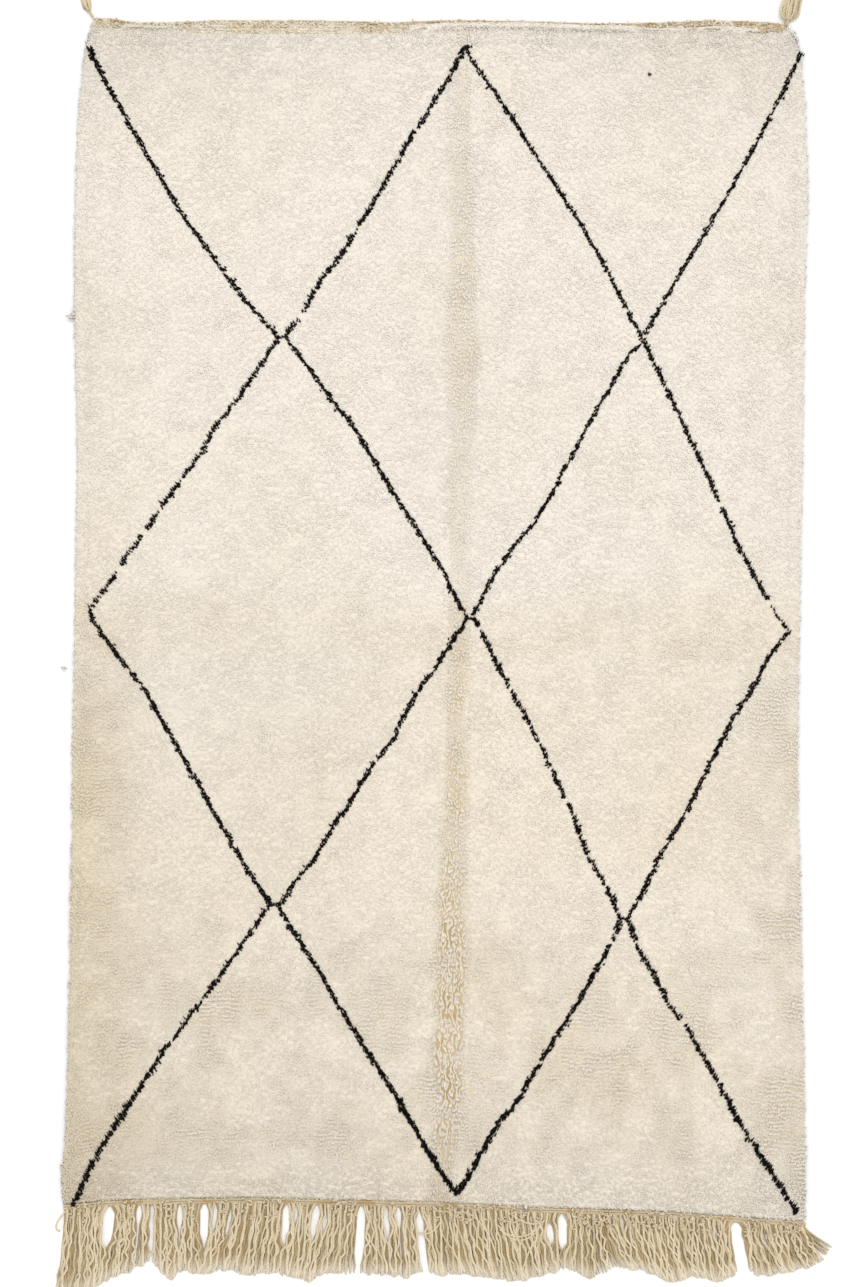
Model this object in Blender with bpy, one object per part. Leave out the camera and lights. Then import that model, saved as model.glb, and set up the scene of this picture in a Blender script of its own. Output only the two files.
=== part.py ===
"""Beni ourain rug lying flat: a knotted pile field, a heading at each end, a fringe and two corner tassels.

Metres, +Z up. The origin is the middle of the pile field's underside. +Y runs along the rug to the
rolled heading, and the warp fringe lies beyond the -Y end. Every piece rests on the plane Z = 0.
"""

import math
from collections import namedtuple

import bmesh
import bpy

# Driving dimensions
PILE_HEIGHT = 0.018  # ground weave and pile together
EDGE_DROP = 0.005  # how much lower the pile stands where it rounds over at an edge
EDGE_ROUND = 0.030  # how far in from an edge the pile reaches its full height
EDGE_TUCK = 0.005  # how far the top of the pile stands in from the outline
FOOT_TUCK = 0.004  # how far the underside stands in from the outline
SHOULDER_HEIGHT = 0.007  # where the side of the pile bulges out to the outline
SEAM_GAP = 0.0003  # between neighbouring pieces
TOP_HEADING_HEIGHT = 0.011
FOOT_HEADING_HEIGHT = 0.007
HEADING_SECTIONS = 44
FRINGE_THICKNESS = 0.006
FRINGE_TIP_RAGGED = 0.003  # how far the cut ends go in and out
CUT_END_SPACING = 0.016  # between the points along a clump's cut ends
CUT_END_TURN = 2.7  # radians of the in and out from one point to the next
CLUMP_TURN = 1.9  # radians of it from one clump to the next
CUT_CORNER = 0.0045  # how much shorter a clump's outermost yarns are
CLUMP_GAP = 0.0015  # between two clumps that lie against each other
HEADING_POINT_SPACING = 0.08  # between the points where the fringe meets its heading
FIELD_LEFT = -0.780  # the field's sides and ends before they follow the tables below
FIELD_RIGHT = 0.770
FIELD_FOOT = -1.250
FIELD_TOP = 1.230
FIELD_COLUMN_WIDTH = 0.052
FIELD_ROW_LENGTH = 0.056
SHOULDER_SHARE = 0.35  # of EDGE_ROUND, where a grid line stands between the edge and full height
NEAREST_LINES = 0.3  # of a column's width, the least between a crease's grid lines and the others
CREASE_LINES = (-1.0, -0.5, 0.0, 0.5, 1.0)  # grid lines across the main crease, in half widths

# A low arched section: shares of its half width and of its height
ArchPoint = namedtuple("ArchPoint", "across up")
LOW_ARCH = (
    ArchPoint(-0.80, 0.00),
    ArchPoint(0.80, 0.00),
    ArchPoint(1.00, 0.40),
    ArchPoint(0.62, 0.88),
    ArchPoint(0.00, 1.00),
    ArchPoint(-0.62, 0.88),
    ArchPoint(-1.00, 0.40),
)

# The pile field's sides, from the rolled heading down to the foot
Side = namedtuple("Side", "along left right")
SIDES = (
    Side(1.240, -0.724, 0.740),
    Side(1.200, -0.736, 0.763),
    Side(1.160, -0.746, 0.773),
    Side(1.115, -0.757, 0.779),
    Side(1.030, -0.762, 0.782),
    Side(0.905, -0.766, 0.785),
    Side(0.740, -0.767, 0.778),
    Side(0.400, -0.760, 0.774),
    Side(0.065, -0.765, 0.768),
    Side(-0.270, -0.771, 0.762),
    Side(-0.480, -0.779, 0.767),
    Side(-0.775, -0.784, 0.773),
    Side(-1.060, -0.793, 0.779),
    Side(-1.195, -0.791, 0.778),
    Side(-1.300, -0.783, 0.777),
)

# The rolled heading: its outer edge, and the inner edge where the pile starts
TopHeading = namedtuple("TopHeading", "across outer inner")
TOP_HEADING = (
    TopHeading(-0.722, 1.248, 1.234),
    TopHeading(-0.670, 1.242, 1.227),
    TopHeading(-0.603, 1.236, 1.222),
    TopHeading(-0.550, 1.238, 1.226),
    TopHeading(-0.498, 1.241, 1.218),
    TopHeading(-0.288, 1.242, 1.217),
    TopHeading(-0.078, 1.237, 1.218),
    TopHeading(0.006, 1.242, 1.226),
    TopHeading(0.174, 1.240, 1.226),
    TopHeading(0.342, 1.235, 1.219),
    TopHeading(0.489, 1.237, 1.220),
    TopHeading(0.582, 1.242, 1.223),
    TopHeading(0.678, 1.238, 1.214),
    TopHeading(0.738, 1.233, 1.220),
)

# The twined heading at the foot: the edge towards the pile, and the edge towards the fringe
FootHeading = namedtuple("FootHeading", "across upper lower")
FOOT_HEADING = (
    FootHeading(-0.785, -1.248, -1.262),
    FootHeading(-0.670, -1.238, -1.251),
    FootHeading(-0.399, -1.233, -1.246),
    FootHeading(-0.015, -1.243, -1.256),
    FootHeading(0.214, -1.254, -1.267),
    FootHeading(0.470, -1.262, -1.275),
    FootHeading(0.775, -1.284, -1.297),
)

# Where the fringe's cut ends lie
Reach = namedtuple("Reach", "across along")
FRINGE_REACH = (
    Reach(-0.804, -1.440),
    Reach(-0.760, -1.446),
    Reach(-0.714, -1.424),
    Reach(-0.693, -1.405),
    Reach(-0.649, -1.392),
    Reach(-0.603, -1.369),
    Reach(-0.561, -1.411),
    Reach(-0.533, -1.388),
    Reach(-0.498, -1.399),
    Reach(-0.443, -1.388),
    Reach(-0.399, -1.399),
    Reach(-0.351, -1.392),
    Reach(-0.267, -1.413),
    Reach(-0.237, -1.394),
    Reach(-0.109, -1.397),
    Reach(-0.071, -1.407),
    Reach(-0.025, -1.390),
    Reach(0.017, -1.401),
    Reach(0.042, -1.394),
    Reach(0.166, -1.411),
    Reach(0.239, -1.396),
    Reach(0.275, -1.381),
    Reach(0.321, -1.407),
    Reach(0.367, -1.384),
    Reach(0.433, -1.386),
    Reach(0.495, -1.416),
    Reach(0.540, -1.399),
    Reach(0.594, -1.413),
    Reach(0.649, -1.388),
    Reach(0.680, -1.403),
    Reach(0.752, -1.388),
    Reach(0.800, -1.378),
    Reach(0.842, -1.327),
)

# The openings between the fringe's clumps, widest in their middle. Start and end are shares of the way
# from the heading to the cut ends, and below an opening's end its clumps lie against each other.
Opening = namedtuple("Opening", "across width start end")
OPENING_SHOULDER = 0.25  # of an opening's length, from either end to where it has its full width
FRINGE_OPENINGS = (
    Opening(-0.693, 0.022, 0.02, 0.50),
    Opening(-0.600, 0.008, 0.10, 0.90),
    Opening(-0.543, 0.010, 0.10, 0.45),
    Opening(-0.490, 0.016, 0.10, 0.60),
    Opening(-0.468, 0.010, 0.12, 0.50),
    Opening(-0.430, 0.008, 0.12, 0.55),
    Opening(-0.325, 0.012, 0.05, 0.60),
    Opening(-0.298, 0.007, 0.04, 0.35),
    Opening(-0.254, 0.013, 0.05, 0.45),
    Opening(-0.231, 0.009, 0.12, 0.35),
    Opening(-0.158, 0.012, 0.04, 0.80),
    Opening(-0.103, 0.008, 0.10, 0.45),
    Opening(-0.080, 0.009, 0.04, 0.30),
    Opening(-0.034, 0.013, 0.15, 0.97),
    Opening(0.233, 0.013, 0.30, 0.60),
    Opening(0.265, 0.014, 0.08, 0.60),
    Opening(0.384, 0.009, 0.10, 0.25),
    Opening(0.628, 0.017, 0.08, 0.97),
    Opening(0.683, 0.008, 0.20, 0.55),
)

# Soft troughs that the folded rug kept. Each runs through its points, and half_width is to the trough's lip.
Crease = namedtuple("Crease", "depth half_width points")
CREASES = (
    Crease(
        depth=0.0030,
        half_width=0.034,
        points=(
            (0.050, 1.20),
            (0.052, 0.62),
            (0.046, 0.00),
            (0.042, -0.35),
            (0.030, -0.72),
            (0.010, -1.22),
        ),
    ),
    Crease(
        depth=0.0015,
        half_width=0.060,
        points=((-0.76, 0.012), (0.04, -0.010), (0.30, -0.070), (0.76, -0.085)),
    ),
    Crease(
        depth=0.0010,
        half_width=0.080,
        points=((-0.77, -0.500), (0.10, -0.560), (0.76, -0.530)),
    ),
)

# The tassels' sections, from the corner outwards: middle line, half width across it and height
Bulk = namedtuple("Bulk", "across along half_width height")
LEFT_TASSEL = (
    Bulk(-0.7225, 1.2500, 0.0030, 0.006),
    Bulk(-0.7290, 1.2555, 0.0032, 0.006),
    Bulk(-0.7330, 1.2620, 0.0070, 0.011),
    Bulk(-0.7375, 1.2700, 0.0072, 0.012),
    Bulk(-0.7430, 1.2800, 0.0095, 0.010),
    Bulk(-0.7465, 1.2930, 0.0115, 0.009),
    Bulk(-0.7480, 1.3060, 0.0105, 0.007),
)
RIGHT_TASSEL = (
    Bulk(0.7390, 1.2350, 0.0070, 0.009),
    Bulk(0.7410, 1.2430, 0.0085, 0.012),
    Bulk(0.7440, 1.2530, 0.0150, 0.013),
    Bulk(0.7480, 1.2680, 0.0200, 0.012),
    Bulk(0.7510, 1.2840, 0.0180, 0.011),
    Bulk(0.7530, 1.3000, 0.0165, 0.009),
    Bulk(0.7540, 1.3120, 0.0135, 0.006),
)

WOOL_CREAM = (0.83, 0.77, 0.68, 1.0)
WARP_TAN = (0.60, 0.49, 0.34, 1.0)
HEADING_TAN = (0.66, 0.56, 0.42, 1.0)
WOOL_ROUGHNESS = 0.95


def between(at, low, high, first, last):
    """The value at a place between low, where it is first, and high, where it is last."""
    share = (at - low) / (high - low)
    return first + (last - first) * min(max(share, 0.0), 1.0)


def read_off(rows, key, value, at):
    """A column of a table at a place between its rows, held level past the first and last row."""
    pairs = sorted((getattr(row, key), getattr(row, value)) for row in rows)
    for (low, first), (high, last) in zip(pairs, pairs[1:]):
        if at <= high:
            return between(at, low, high, first, last)
    return pairs[-1][1]


def steps(low, high, width):
    """Evenly spaced places from low to high, no further apart than width."""
    count = math.ceil((high - low) / width)
    return [low + (high - low) * i / count for i in range(count + 1)]


def material(name, colour):
    made = bpy.data.materials.new(name)
    made.use_nodes = True
    shader = made.node_tree.nodes["Principled BSDF"]
    shader.inputs["Base Color"].default_value = colour
    shader.inputs["Roughness"].default_value = WOOL_ROUGHNESS
    shader.inputs["Metallic"].default_value = 0.0
    made.diffuse_color = colour
    return made


def add_object(name, shape, finish):
    """Turns a bmesh into a named object with its material."""
    mesh = bpy.data.meshes.new(name)
    shape.to_mesh(mesh)
    shape.free()
    mesh.materials.append(finish)
    made = bpy.data.objects.new(name, mesh)
    bpy.context.scene.collection.objects.link(made)
    return made


def loft(name, rings, finish):
    """A closed solid through rings of the same number of points, with a flat cap on each end."""
    shape = bmesh.new()
    loops = [[shape.verts.new(point) for point in ring] for ring in rings]
    for one, other in zip(loops, loops[1:]):
        for i in range(len(one)):
            after = (i + 1) % len(one)
            shape.faces.new((one[i], one[after], other[after], other[i]))
    shape.faces.new(loops[0][::-1])
    shape.faces.new(loops[-1])
    bmesh.ops.recalc_face_normals(shape, faces=shape.faces)
    return add_object(name, shape, finish)


def low_arch(half_width, height):
    """A section with a flat foot and a rounded back, as (offset from the middle line, height) pairs."""
    return [(point.across * half_width, point.up * height) for point in LOW_ARCH]


def distance_to_line(x, y, points):
    """How far a place is from a line through points."""
    nearest = math.inf
    for (x0, y0), (x1, y1) in zip(points, points[1:]):
        length_squared = (x1 - x0) ** 2 + (y1 - y0) ** 2
        share = ((x - x0) * (x1 - x0) + (y - y0) * (y1 - y0)) / length_squared
        share = min(max(share, 0.0), 1.0)
        nearest = min(nearest, math.hypot(x - x0 - share * (x1 - x0), y - y0 - share * (y1 - y0)))
    return nearest


def crease_depth(x, y):
    depth = 0.0
    for crease in CREASES:
        off = distance_to_line(x, y, crease.points) / crease.half_width
        if off < 1.0:
            depth = max(depth, crease.depth * 0.5 * (1.0 + math.cos(math.pi * off)))
    return depth


def field_ends(x):
    """The pile field's end at the rolled heading, and its end at the foot, at a place across the rug."""
    top = read_off(TOP_HEADING, "across", "inner", x) - SEAM_GAP
    foot = read_off(FOOT_HEADING, "across", "upper", x) + SEAM_GAP
    return top, foot


def field_height(x, y, margin):
    """The top of the pile at a place that lies margin in from the nearest edge."""
    rise = min(margin / EDGE_ROUND, 1.0)
    return PILE_HEIGHT - EDGE_DROP * (1.0 - rise) ** 2 - crease_depth(x, y)


def field_places(low, high, width, extra=()):
    """Grid lines from low to high, closer together where the pile rounds over, with extra ones between."""
    inner = steps(low + EDGE_ROUND, high - EDGE_ROUND, width)
    clear = [x for x in inner if all(abs(x - e) > NEAREST_LINES * width for e in extra)]
    shoulder = SHOULDER_SHARE * EDGE_ROUND
    return sorted([low, low + shoulder, *clear, *extra, high - shoulder, high])


def build_field(finish):
    """The pile field: one flat solid with a level underside, soft edges and the folds' shallow troughs."""
    main = CREASES[0]
    middle = sum(x for x, _ in main.points) / len(main.points)
    crease_lines = [middle + share * main.half_width for share in CREASE_LINES]
    columns = field_places(FIELD_LEFT, FIELD_RIGHT, FIELD_COLUMN_WIDTH, crease_lines)
    rows = field_places(FIELD_FOOT, FIELD_TOP, FIELD_ROW_LENGTH)
    shares_across = [between(x, columns[0], columns[-1], 0.0, 1.0) for x in columns]
    shares_along = [between(y, rows[0], rows[-1], 0.0, 1.0) for y in rows]
    shape = bmesh.new()
    grid = []
    for v, rough_y in zip(shares_along, rows):
        line = []
        for u in shares_across:
            left = read_off(SIDES, "along", "left", rough_y) + EDGE_TUCK
            right = read_off(SIDES, "along", "right", rough_y) - EDGE_TUCK
            x = left + (right - left) * u
            top, foot = field_ends(x)
            y = foot + EDGE_TUCK + (top - foot - 2 * EDGE_TUCK) * v
            margin = min(x - left, right - x, top - EDGE_TUCK - y, y - foot - EDGE_TUCK)
            line.append(shape.verts.new((x, y, field_height(x, y, margin))))
        grid.append(line)
    for low, high in zip(grid, grid[1:]):
        for i in range(len(low) - 1):
            shape.faces.new((low[i], low[i + 1], high[i + 1], high[i]))
    last_row, last_column = len(grid) - 1, len(grid[0]) - 1
    border = [(0, i) for i in range(last_column)]
    border += [(j, last_column) for j in range(last_row)]
    border += [(last_row, i) for i in range(last_column, 0, -1)]
    border += [(j, 0) for j in range(last_row, 0, -1)]
    rims = []
    for tuck, height in ((EDGE_TUCK, SHOULDER_HEIGHT), (EDGE_TUCK - FOOT_TUCK, 0.0)):
        rim = []
        for j, i in border:
            outward_x = (i == last_column) - (i == 0)
            outward_y = (j == last_row) - (j == 0)
            x, y, _ = grid[j][i].co
            rim.append(shape.verts.new((x + tuck * outward_x, y + tuck * outward_y, height)))
        rims.append(rim)
    loops = [[grid[j][i] for j, i in border], *rims]
    for upper, lower in zip(loops, loops[1:]):
        for i in range(len(upper)):
            after = (i + 1) % len(upper)
            shape.faces.new((upper[i], lower[i], lower[after], upper[after]))
    shape.faces.new(loops[-1][::-1])
    bmesh.ops.recalc_face_normals(shape, faces=shape.faces)
    return add_object("pile_field", shape, finish)


def build_heading(name, low, high, edges, height, finish):
    """A heading as a low arched strip from low to high. edges(x) gives its two edges there."""
    rings = []
    for i in range(HEADING_SECTIONS + 1):
        x = low + (high - low) * i / HEADING_SECTIONS
        upper, lower = edges(x)
        middle, half_width = 0.5 * (upper + lower), 0.5 * (upper - lower)
        rings.append([(x, middle + off, z) for off, z in low_arch(half_width, height)])
    return loft(name, rings, finish)


def top_heading_edges(x):
    return read_off(TOP_HEADING, "across", "outer", x), read_off(TOP_HEADING, "across", "inner", x)


def foot_heading_edges(x):
    return read_off(FOOT_HEADING, "across", "upper", x), read_off(FOOT_HEADING, "across", "lower", x)


def fringe_outline():
    """The comb's outline: the straight run under the heading, then each clump's sides and ragged cut ends."""
    left, right = FOOT_HEADING[0].across, FOOT_HEADING[-1].across
    low, high = FRINGE_REACH[0].across, FRINGE_REACH[-1].across

    def root(x):
        return read_off(FOOT_HEADING, "across", "lower", x) - SEAM_GAP

    def tip(x):
        return read_off(FRINGE_REACH, "across", "along", x)

    def place(opening, share, off):
        x = opening.across + off
        return x, root(x) + share * (tip(x) - root(x))

    outline = [(x, root(x)) for x in steps(left, right, HEADING_POINT_SPACING)]
    sides = [(o.across - 0.5 * CLUMP_GAP, o.across + 0.5 * CLUMP_GAP) for o in FRINGE_OPENINGS]
    edges = [low, *(x for pair in sides for x in pair), high]
    clumps = list(zip(edges[::2], edges[1::2]))[::-1]
    openings = FRINGE_OPENINGS[::-1]
    for number, (start, end) in enumerate(clumps):
        count = max(2, math.ceil((end - start) / CUT_END_SPACING)) + 1
        for k in range(count):
            x = end + (start - end) * k / (count - 1)
            ragged = FRINGE_TIP_RAGGED * math.sin(CUT_END_TURN * k + CLUMP_TURN * number)
            rounded = CUT_CORNER * (k in (0, count - 1))
            outline.append((x, tip(x) + ragged + rounded))
        if number < len(openings):
            one = openings[number]
            wide, narrow = 0.5 * one.width, 0.5 * CLUMP_GAP
            shoulder = OPENING_SHOULDER * (one.end - one.start)
            upper, lower = one.start + shoulder, one.end - shoulder
            outline += [place(one, one.end, narrow), place(one, lower, wide), place(one, upper, wide)]
            outline.append(place(one, one.start, 0.0))
            outline += [place(one, upper, -wide), place(one, lower, -wide)]
            outline.append(place(one, one.end, -narrow))
    return outline


def build_fringe(finish):
    """The warp fringe: one comb, its clumps of yarn lying flat beside each other."""
    shape = bmesh.new()
    foot = [shape.verts.new((x, y, 0.0)) for x, y in fringe_outline()]
    top = [shape.verts.new((x, y, FRINGE_THICKNESS)) for x, y in fringe_outline()]
    for i in range(len(foot)):
        after = (i + 1) % len(foot)
        shape.faces.new((foot[i], foot[after], top[after], top[i]))
    shape.faces.new(foot[::-1])
    shape.faces.new(top)
    bmesh.ops.recalc_face_normals(shape, faces=shape.faces)
    return add_object("fringe", shape, finish)


def build_tassel(name, bulks, finish):
    """A tassel lying on the floor, its sections square to its middle line."""
    rings = []
    for i, bulk in enumerate(bulks):
        before, after = bulks[max(i - 1, 0)], bulks[min(i + 1, len(bulks) - 1)]
        run_x, run_y = after.across - before.across, after.along - before.along
        length = math.hypot(run_x, run_y)
        side_x, side_y = run_y / length, -run_x / length
        arch = low_arch(bulk.half_width, bulk.height)
        rings.append([(bulk.across + off * side_x, bulk.along + off * side_y, z) for off, z in arch])
    return loft(name, rings, finish)


def main():
    for old in list(bpy.data.objects):
        bpy.data.objects.remove(old, do_unlink=True)
    cream = material("wool_cream", WOOL_CREAM)
    tan = material("warp_tan", WARP_TAN)
    heading = material("heading_tan", HEADING_TAN)
    build_field(cream)
    top_ends = TOP_HEADING[0].across, TOP_HEADING[-1].across
    foot_ends = FOOT_HEADING[0].across, FOOT_HEADING[-1].across
    build_heading("heading_top", *top_ends, top_heading_edges, TOP_HEADING_HEIGHT, heading)
    build_heading("heading_foot", *foot_ends, foot_heading_edges, FOOT_HEADING_HEIGHT, heading)
    build_fringe(tan)
    build_tassel("tassel_left", LEFT_TASSEL, tan)
    build_tassel("tassel_right", RIGHT_TASSEL, tan)


main()
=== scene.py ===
"""Beni ourain rug laid flat: knotted cream wool with dark diamond lines, a rolled heading, a twined heading,
a warp fringe and two corner tassels.

Metres, +Z up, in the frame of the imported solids. +Y runs along the rug to the rolled heading, and the
fringe lies at the -Y end. Knots are laid row by row and column by column between the edges of the pile
field's solid, and each becomes a leaning lock of wool whose tip is at the solid's top.
"""

import math
from collections import namedtuple

import bmesh
import bpy
import numpy as np
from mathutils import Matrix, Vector
from mathutils.bvhtree import BVHTree


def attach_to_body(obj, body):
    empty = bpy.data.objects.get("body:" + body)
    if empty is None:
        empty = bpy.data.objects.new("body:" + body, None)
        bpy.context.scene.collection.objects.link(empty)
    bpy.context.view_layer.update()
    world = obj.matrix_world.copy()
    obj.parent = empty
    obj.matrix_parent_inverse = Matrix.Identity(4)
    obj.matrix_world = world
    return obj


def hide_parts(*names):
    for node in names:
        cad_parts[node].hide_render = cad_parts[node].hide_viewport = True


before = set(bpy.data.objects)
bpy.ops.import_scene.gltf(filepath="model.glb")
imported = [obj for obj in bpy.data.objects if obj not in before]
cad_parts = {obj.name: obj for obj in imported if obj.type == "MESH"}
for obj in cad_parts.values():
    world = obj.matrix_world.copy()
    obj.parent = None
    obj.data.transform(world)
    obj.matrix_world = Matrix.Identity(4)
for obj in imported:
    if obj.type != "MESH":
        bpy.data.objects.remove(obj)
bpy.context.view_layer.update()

bl_info = {
    "name": "Beni Ourain Rug",
    "version": (1, 0, 0),
    "blender": (4, 5, 0),
    "location": "3D View > Sidebar > Rug",
    "description": "Knots, lines, headings, fringe and tassels of a cream wool pile rug",
    "category": "Object",
}

# The dark lines. Each leg runs through its (along, across) points. broken is the share of its rows that are
# thin or left cream, and straight is how far its locks lie along the line instead of with the pile.
Leg = namedtuple("Leg", "width broken straight points")
LEGS = (
    Leg(0.0096, 0.00, 0.60, (
        (1.182, -0.727), (1.140, -0.713), (1.040, -0.655), (0.838, -0.539), (0.737, -0.465),
        (0.636, -0.390), (0.575, -0.332))),
    Leg(0.0096, 0.02, 0.65, (
        (0.573, -0.317), (0.485, -0.252), (0.384, -0.172), (0.284, -0.114), (0.183, -0.049),
        (0.082, 0.013), (-0.017, 0.061))),
    Leg(0.0095, 0.14, 0.30, (
        (-0.019, 0.080), (-0.120, 0.129), (-0.221, 0.185), (-0.422, 0.281), (-0.523, 0.319),
        (-0.573, 0.350), (-0.645, 0.383))),
    Leg(0.0088, 0.18, 0.15, (
        (-0.653, 0.399), (-0.725, 0.428), (-0.775, 0.460), (-0.825, 0.484), (-0.876, 0.524),
        (-0.977, 0.581), (-1.077, 0.635), (-1.178, 0.700), (-1.258, 0.752), (-1.274, 0.748))),
    Leg(0.0089, 0.03, 0.50, (
        (1.172, 0.762), (1.140, 0.751), (1.040, 0.699), (0.939, 0.648), (0.838, 0.589),
        (0.737, 0.527), (0.636, 0.468), (0.577, 0.434))),
    Leg(0.0087, 0.06, 0.45, (
        (0.565, 0.430), (0.535, 0.401), (0.435, 0.343), (0.334, 0.287), (0.233, 0.234),
        (0.183, 0.202), (0.132, 0.158), (0.082, 0.124), (0.032, 0.097), (-0.011, 0.076))),
    Leg(0.0098, 0.02, 0.60, (
        (-0.021, 0.061), (-0.120, -0.004), (-0.171, -0.041), (-0.221, -0.067), (-0.271, -0.092),
        (-0.321, -0.132), (-0.422, -0.196), (-0.523, -0.260), (-0.573, -0.301), (-0.616, -0.329))),
    Leg(0.0093, 0.04, 0.60, (
        (-0.616, -0.349), (-0.674, -0.390), (-0.725, -0.425), (-0.825, -0.498), (-0.926, -0.574),
        (-1.027, -0.639), (-1.128, -0.705), (-1.178, -0.732), (-1.246, -0.762))),
    Leg(0.0093, 0.15, 0.30, (
        (1.184, 0.059), (1.090, 0.009), (0.989, -0.056), (0.937, -0.086), (0.838, -0.144),
        (0.737, -0.207), (0.687, -0.247), (0.636, -0.274), (0.577, -0.316))),
    Leg(0.0088, 0.24, 0.00, (
        (0.573, -0.332), (0.535, -0.354), (0.435, -0.423), (0.384, -0.465), (0.334, -0.490),
        (0.233, -0.565), (0.132, -0.636), (0.032, -0.706), (-0.002, -0.729))),
    Leg(0.0096, 0.00, 0.70, (
        (-0.002, -0.729), (-0.019, -0.722), (-0.069, -0.689), (-0.171, -0.609), (-0.221, -0.582),
        (-0.321, -0.524), (-0.422, -0.468), (-0.523, -0.410), (-0.613, -0.351))),
    Leg(0.0102, 0.01, 0.15, (
        (-0.620, -0.332), (-0.674, -0.300), (-0.725, -0.266), (-0.825, -0.207), (-0.926, -0.146),
        (-1.027, -0.080), (-1.128, -0.025), (-1.178, 0.006), (-1.222, 0.040))),
    Leg(0.0083, 0.02, 0.60, (
        (1.184, 0.059), (1.140, 0.083), (1.090, 0.120), (0.939, 0.217), (0.838, 0.284),
        (0.737, 0.343), (0.636, 0.396), (0.577, 0.427))),
    Leg(0.0085, 0.12, 0.45, (
        (0.570, 0.431), (0.535, 0.447), (0.435, 0.496), (0.334, 0.542), (0.233, 0.589),
        (0.132, 0.634), (0.032, 0.686), (-0.019, 0.719), (-0.044, 0.737))),
    Leg(0.0101, 0.02, 0.65, (
        (-0.044, 0.737), (-0.069, 0.715), (-0.120, 0.683), (-0.171, 0.657), (-0.221, 0.624),
        (-0.321, 0.573), (-0.422, 0.522), (-0.523, 0.464), (-0.624, 0.414), (-0.645, 0.399))),
    Leg(0.0105, 0.03, 0.15, (
        (-0.653, 0.383), (-0.725, 0.351), (-0.825, 0.293), (-0.926, 0.230), (-1.027, 0.169),
        (-1.077, 0.128), (-1.128, 0.097), (-1.178, 0.072), (-1.222, 0.043))),
)

# Short dark bars that join the legs where they cross
Bar = namedtuple("Bar", "along start end")
BARS = (
    Bar(0.573, -0.334, -0.313),
    Bar(0.569, 0.424, 0.438),
    Bar(-0.018, 0.058, 0.083),
    Bar(-0.617, -0.352, -0.326),
    Bar(-0.648, 0.380, 0.402),
)

# The long middle fold: its line along the rug, its half width and how plainly its streaks show
FoldPoint = namedtuple("FoldPoint", "along across half_width plain")
FOLD = (
    FoldPoint(1.200, 0.050, 0.024, 0.25),
    FoldPoint(1.050, 0.049, 0.025, 0.38),
    FoldPoint(0.660, 0.052, 0.030, 0.50),
    FoldPoint(0.560, 0.056, 0.034, 0.50),
    FoldPoint(0.300, 0.049, 0.024, 0.42),
    FoldPoint(0.020, 0.046, 0.024, 0.40),
    FoldPoint(-0.200, 0.042, 0.020, 0.62),
    FoldPoint(-0.500, 0.036, 0.026, 0.80),
    FoldPoint(-0.700, 0.030, 0.032, 0.95),
    FoldPoint(-1.000, 0.024, 0.030, 0.95),
    FoldPoint(-1.180, 0.010, 0.022, 0.65),
    FoldPoint(-1.260, -0.002, 0.026, 0.45),
)

# The openings between the fringe's clumps, at the heading. Start and end are shares of a yarn's length.
Opening = namedtuple("Opening", "across width start end")
OPENINGS = (
    Opening(-0.688, 0.020, 0.00, 0.52),
    Opening(-0.626, 0.009, 0.05, 0.28),
    Opening(-0.599, 0.007, 0.03, 0.95),
    Opening(-0.541, 0.008, 0.05, 0.36),
    Opening(-0.490, 0.014, 0.02, 0.56),
    Opening(-0.466, 0.007, 0.04, 0.46),
    Opening(-0.431, 0.006, 0.10, 0.50),
    Opening(-0.315, 0.013, 0.02, 0.58),
    Opening(-0.297, 0.006, 0.02, 0.32),
    Opening(-0.283, 0.007, 0.26, 0.48),
    Opening(-0.253, 0.013, 0.02, 0.42),
    Opening(-0.233, 0.008, 0.10, 0.38),
    Opening(-0.158, 0.012, 0.02, 0.82),
    Opening(-0.107, 0.008, 0.05, 0.48),
    Opening(-0.082, 0.008, 0.02, 0.27),
    Opening(-0.039, 0.014, 0.10, 1.10),
    Opening(0.197, 0.008, 0.08, 0.24),
    Opening(0.238, 0.013, 0.15, 0.62),
    Opening(0.263, 0.017, 0.05, 0.64),
    Opening(0.386, 0.009, 0.06, 0.24),
    Opening(0.586, 0.005, 0.10, 0.36),
    Opening(0.628, 0.018, 0.03, 1.10),
    Opening(0.681, 0.008, 0.15, 0.52),
)

# How far a yarn's cut end lies to the side of where the yarn leaves the heading
Sway = namedtuple("Sway", "across shift")
SWAYS = (
    Sway(-0.788, -0.019),
    Sway(-0.750, -0.013),
    Sway(-0.700, -0.015),
    Sway(-0.680, -0.027),
    Sway(-0.634, -0.015),
    Sway(-0.604, -0.004),
    Sway(-0.586, 0.000),
    Sway(-0.533, -0.004),
    Sway(-0.500, 0.006),
    Sway(-0.478, -0.010),
    Sway(-0.455, -0.036),
    Sway(-0.400, -0.030),
    Sway(-0.323, -0.017),
    Sway(-0.246, -0.031),
    Sway(-0.172, -0.025),
    Sway(-0.150, 0.003),
    Sway(-0.078, 0.010),
    Sway(0.010, 0.020),
    Sway(0.130, 0.029),
    Sway(0.227, 0.015),
    Sway(0.250, 0.002),
    Sway(0.321, 0.004),
    Sway(0.353, 0.034),
    Sway(0.468, 0.032),
    Sway(0.552, 0.023),
    Sway(0.620, 0.015),
    Sway(0.645, 0.021),
    Sway(0.689, 0.036),
    Sway(0.731, 0.032),
    Sway(0.752, 0.042),
    Sway(0.764, 0.054),
    Sway(0.775, 0.064),
)

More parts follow.
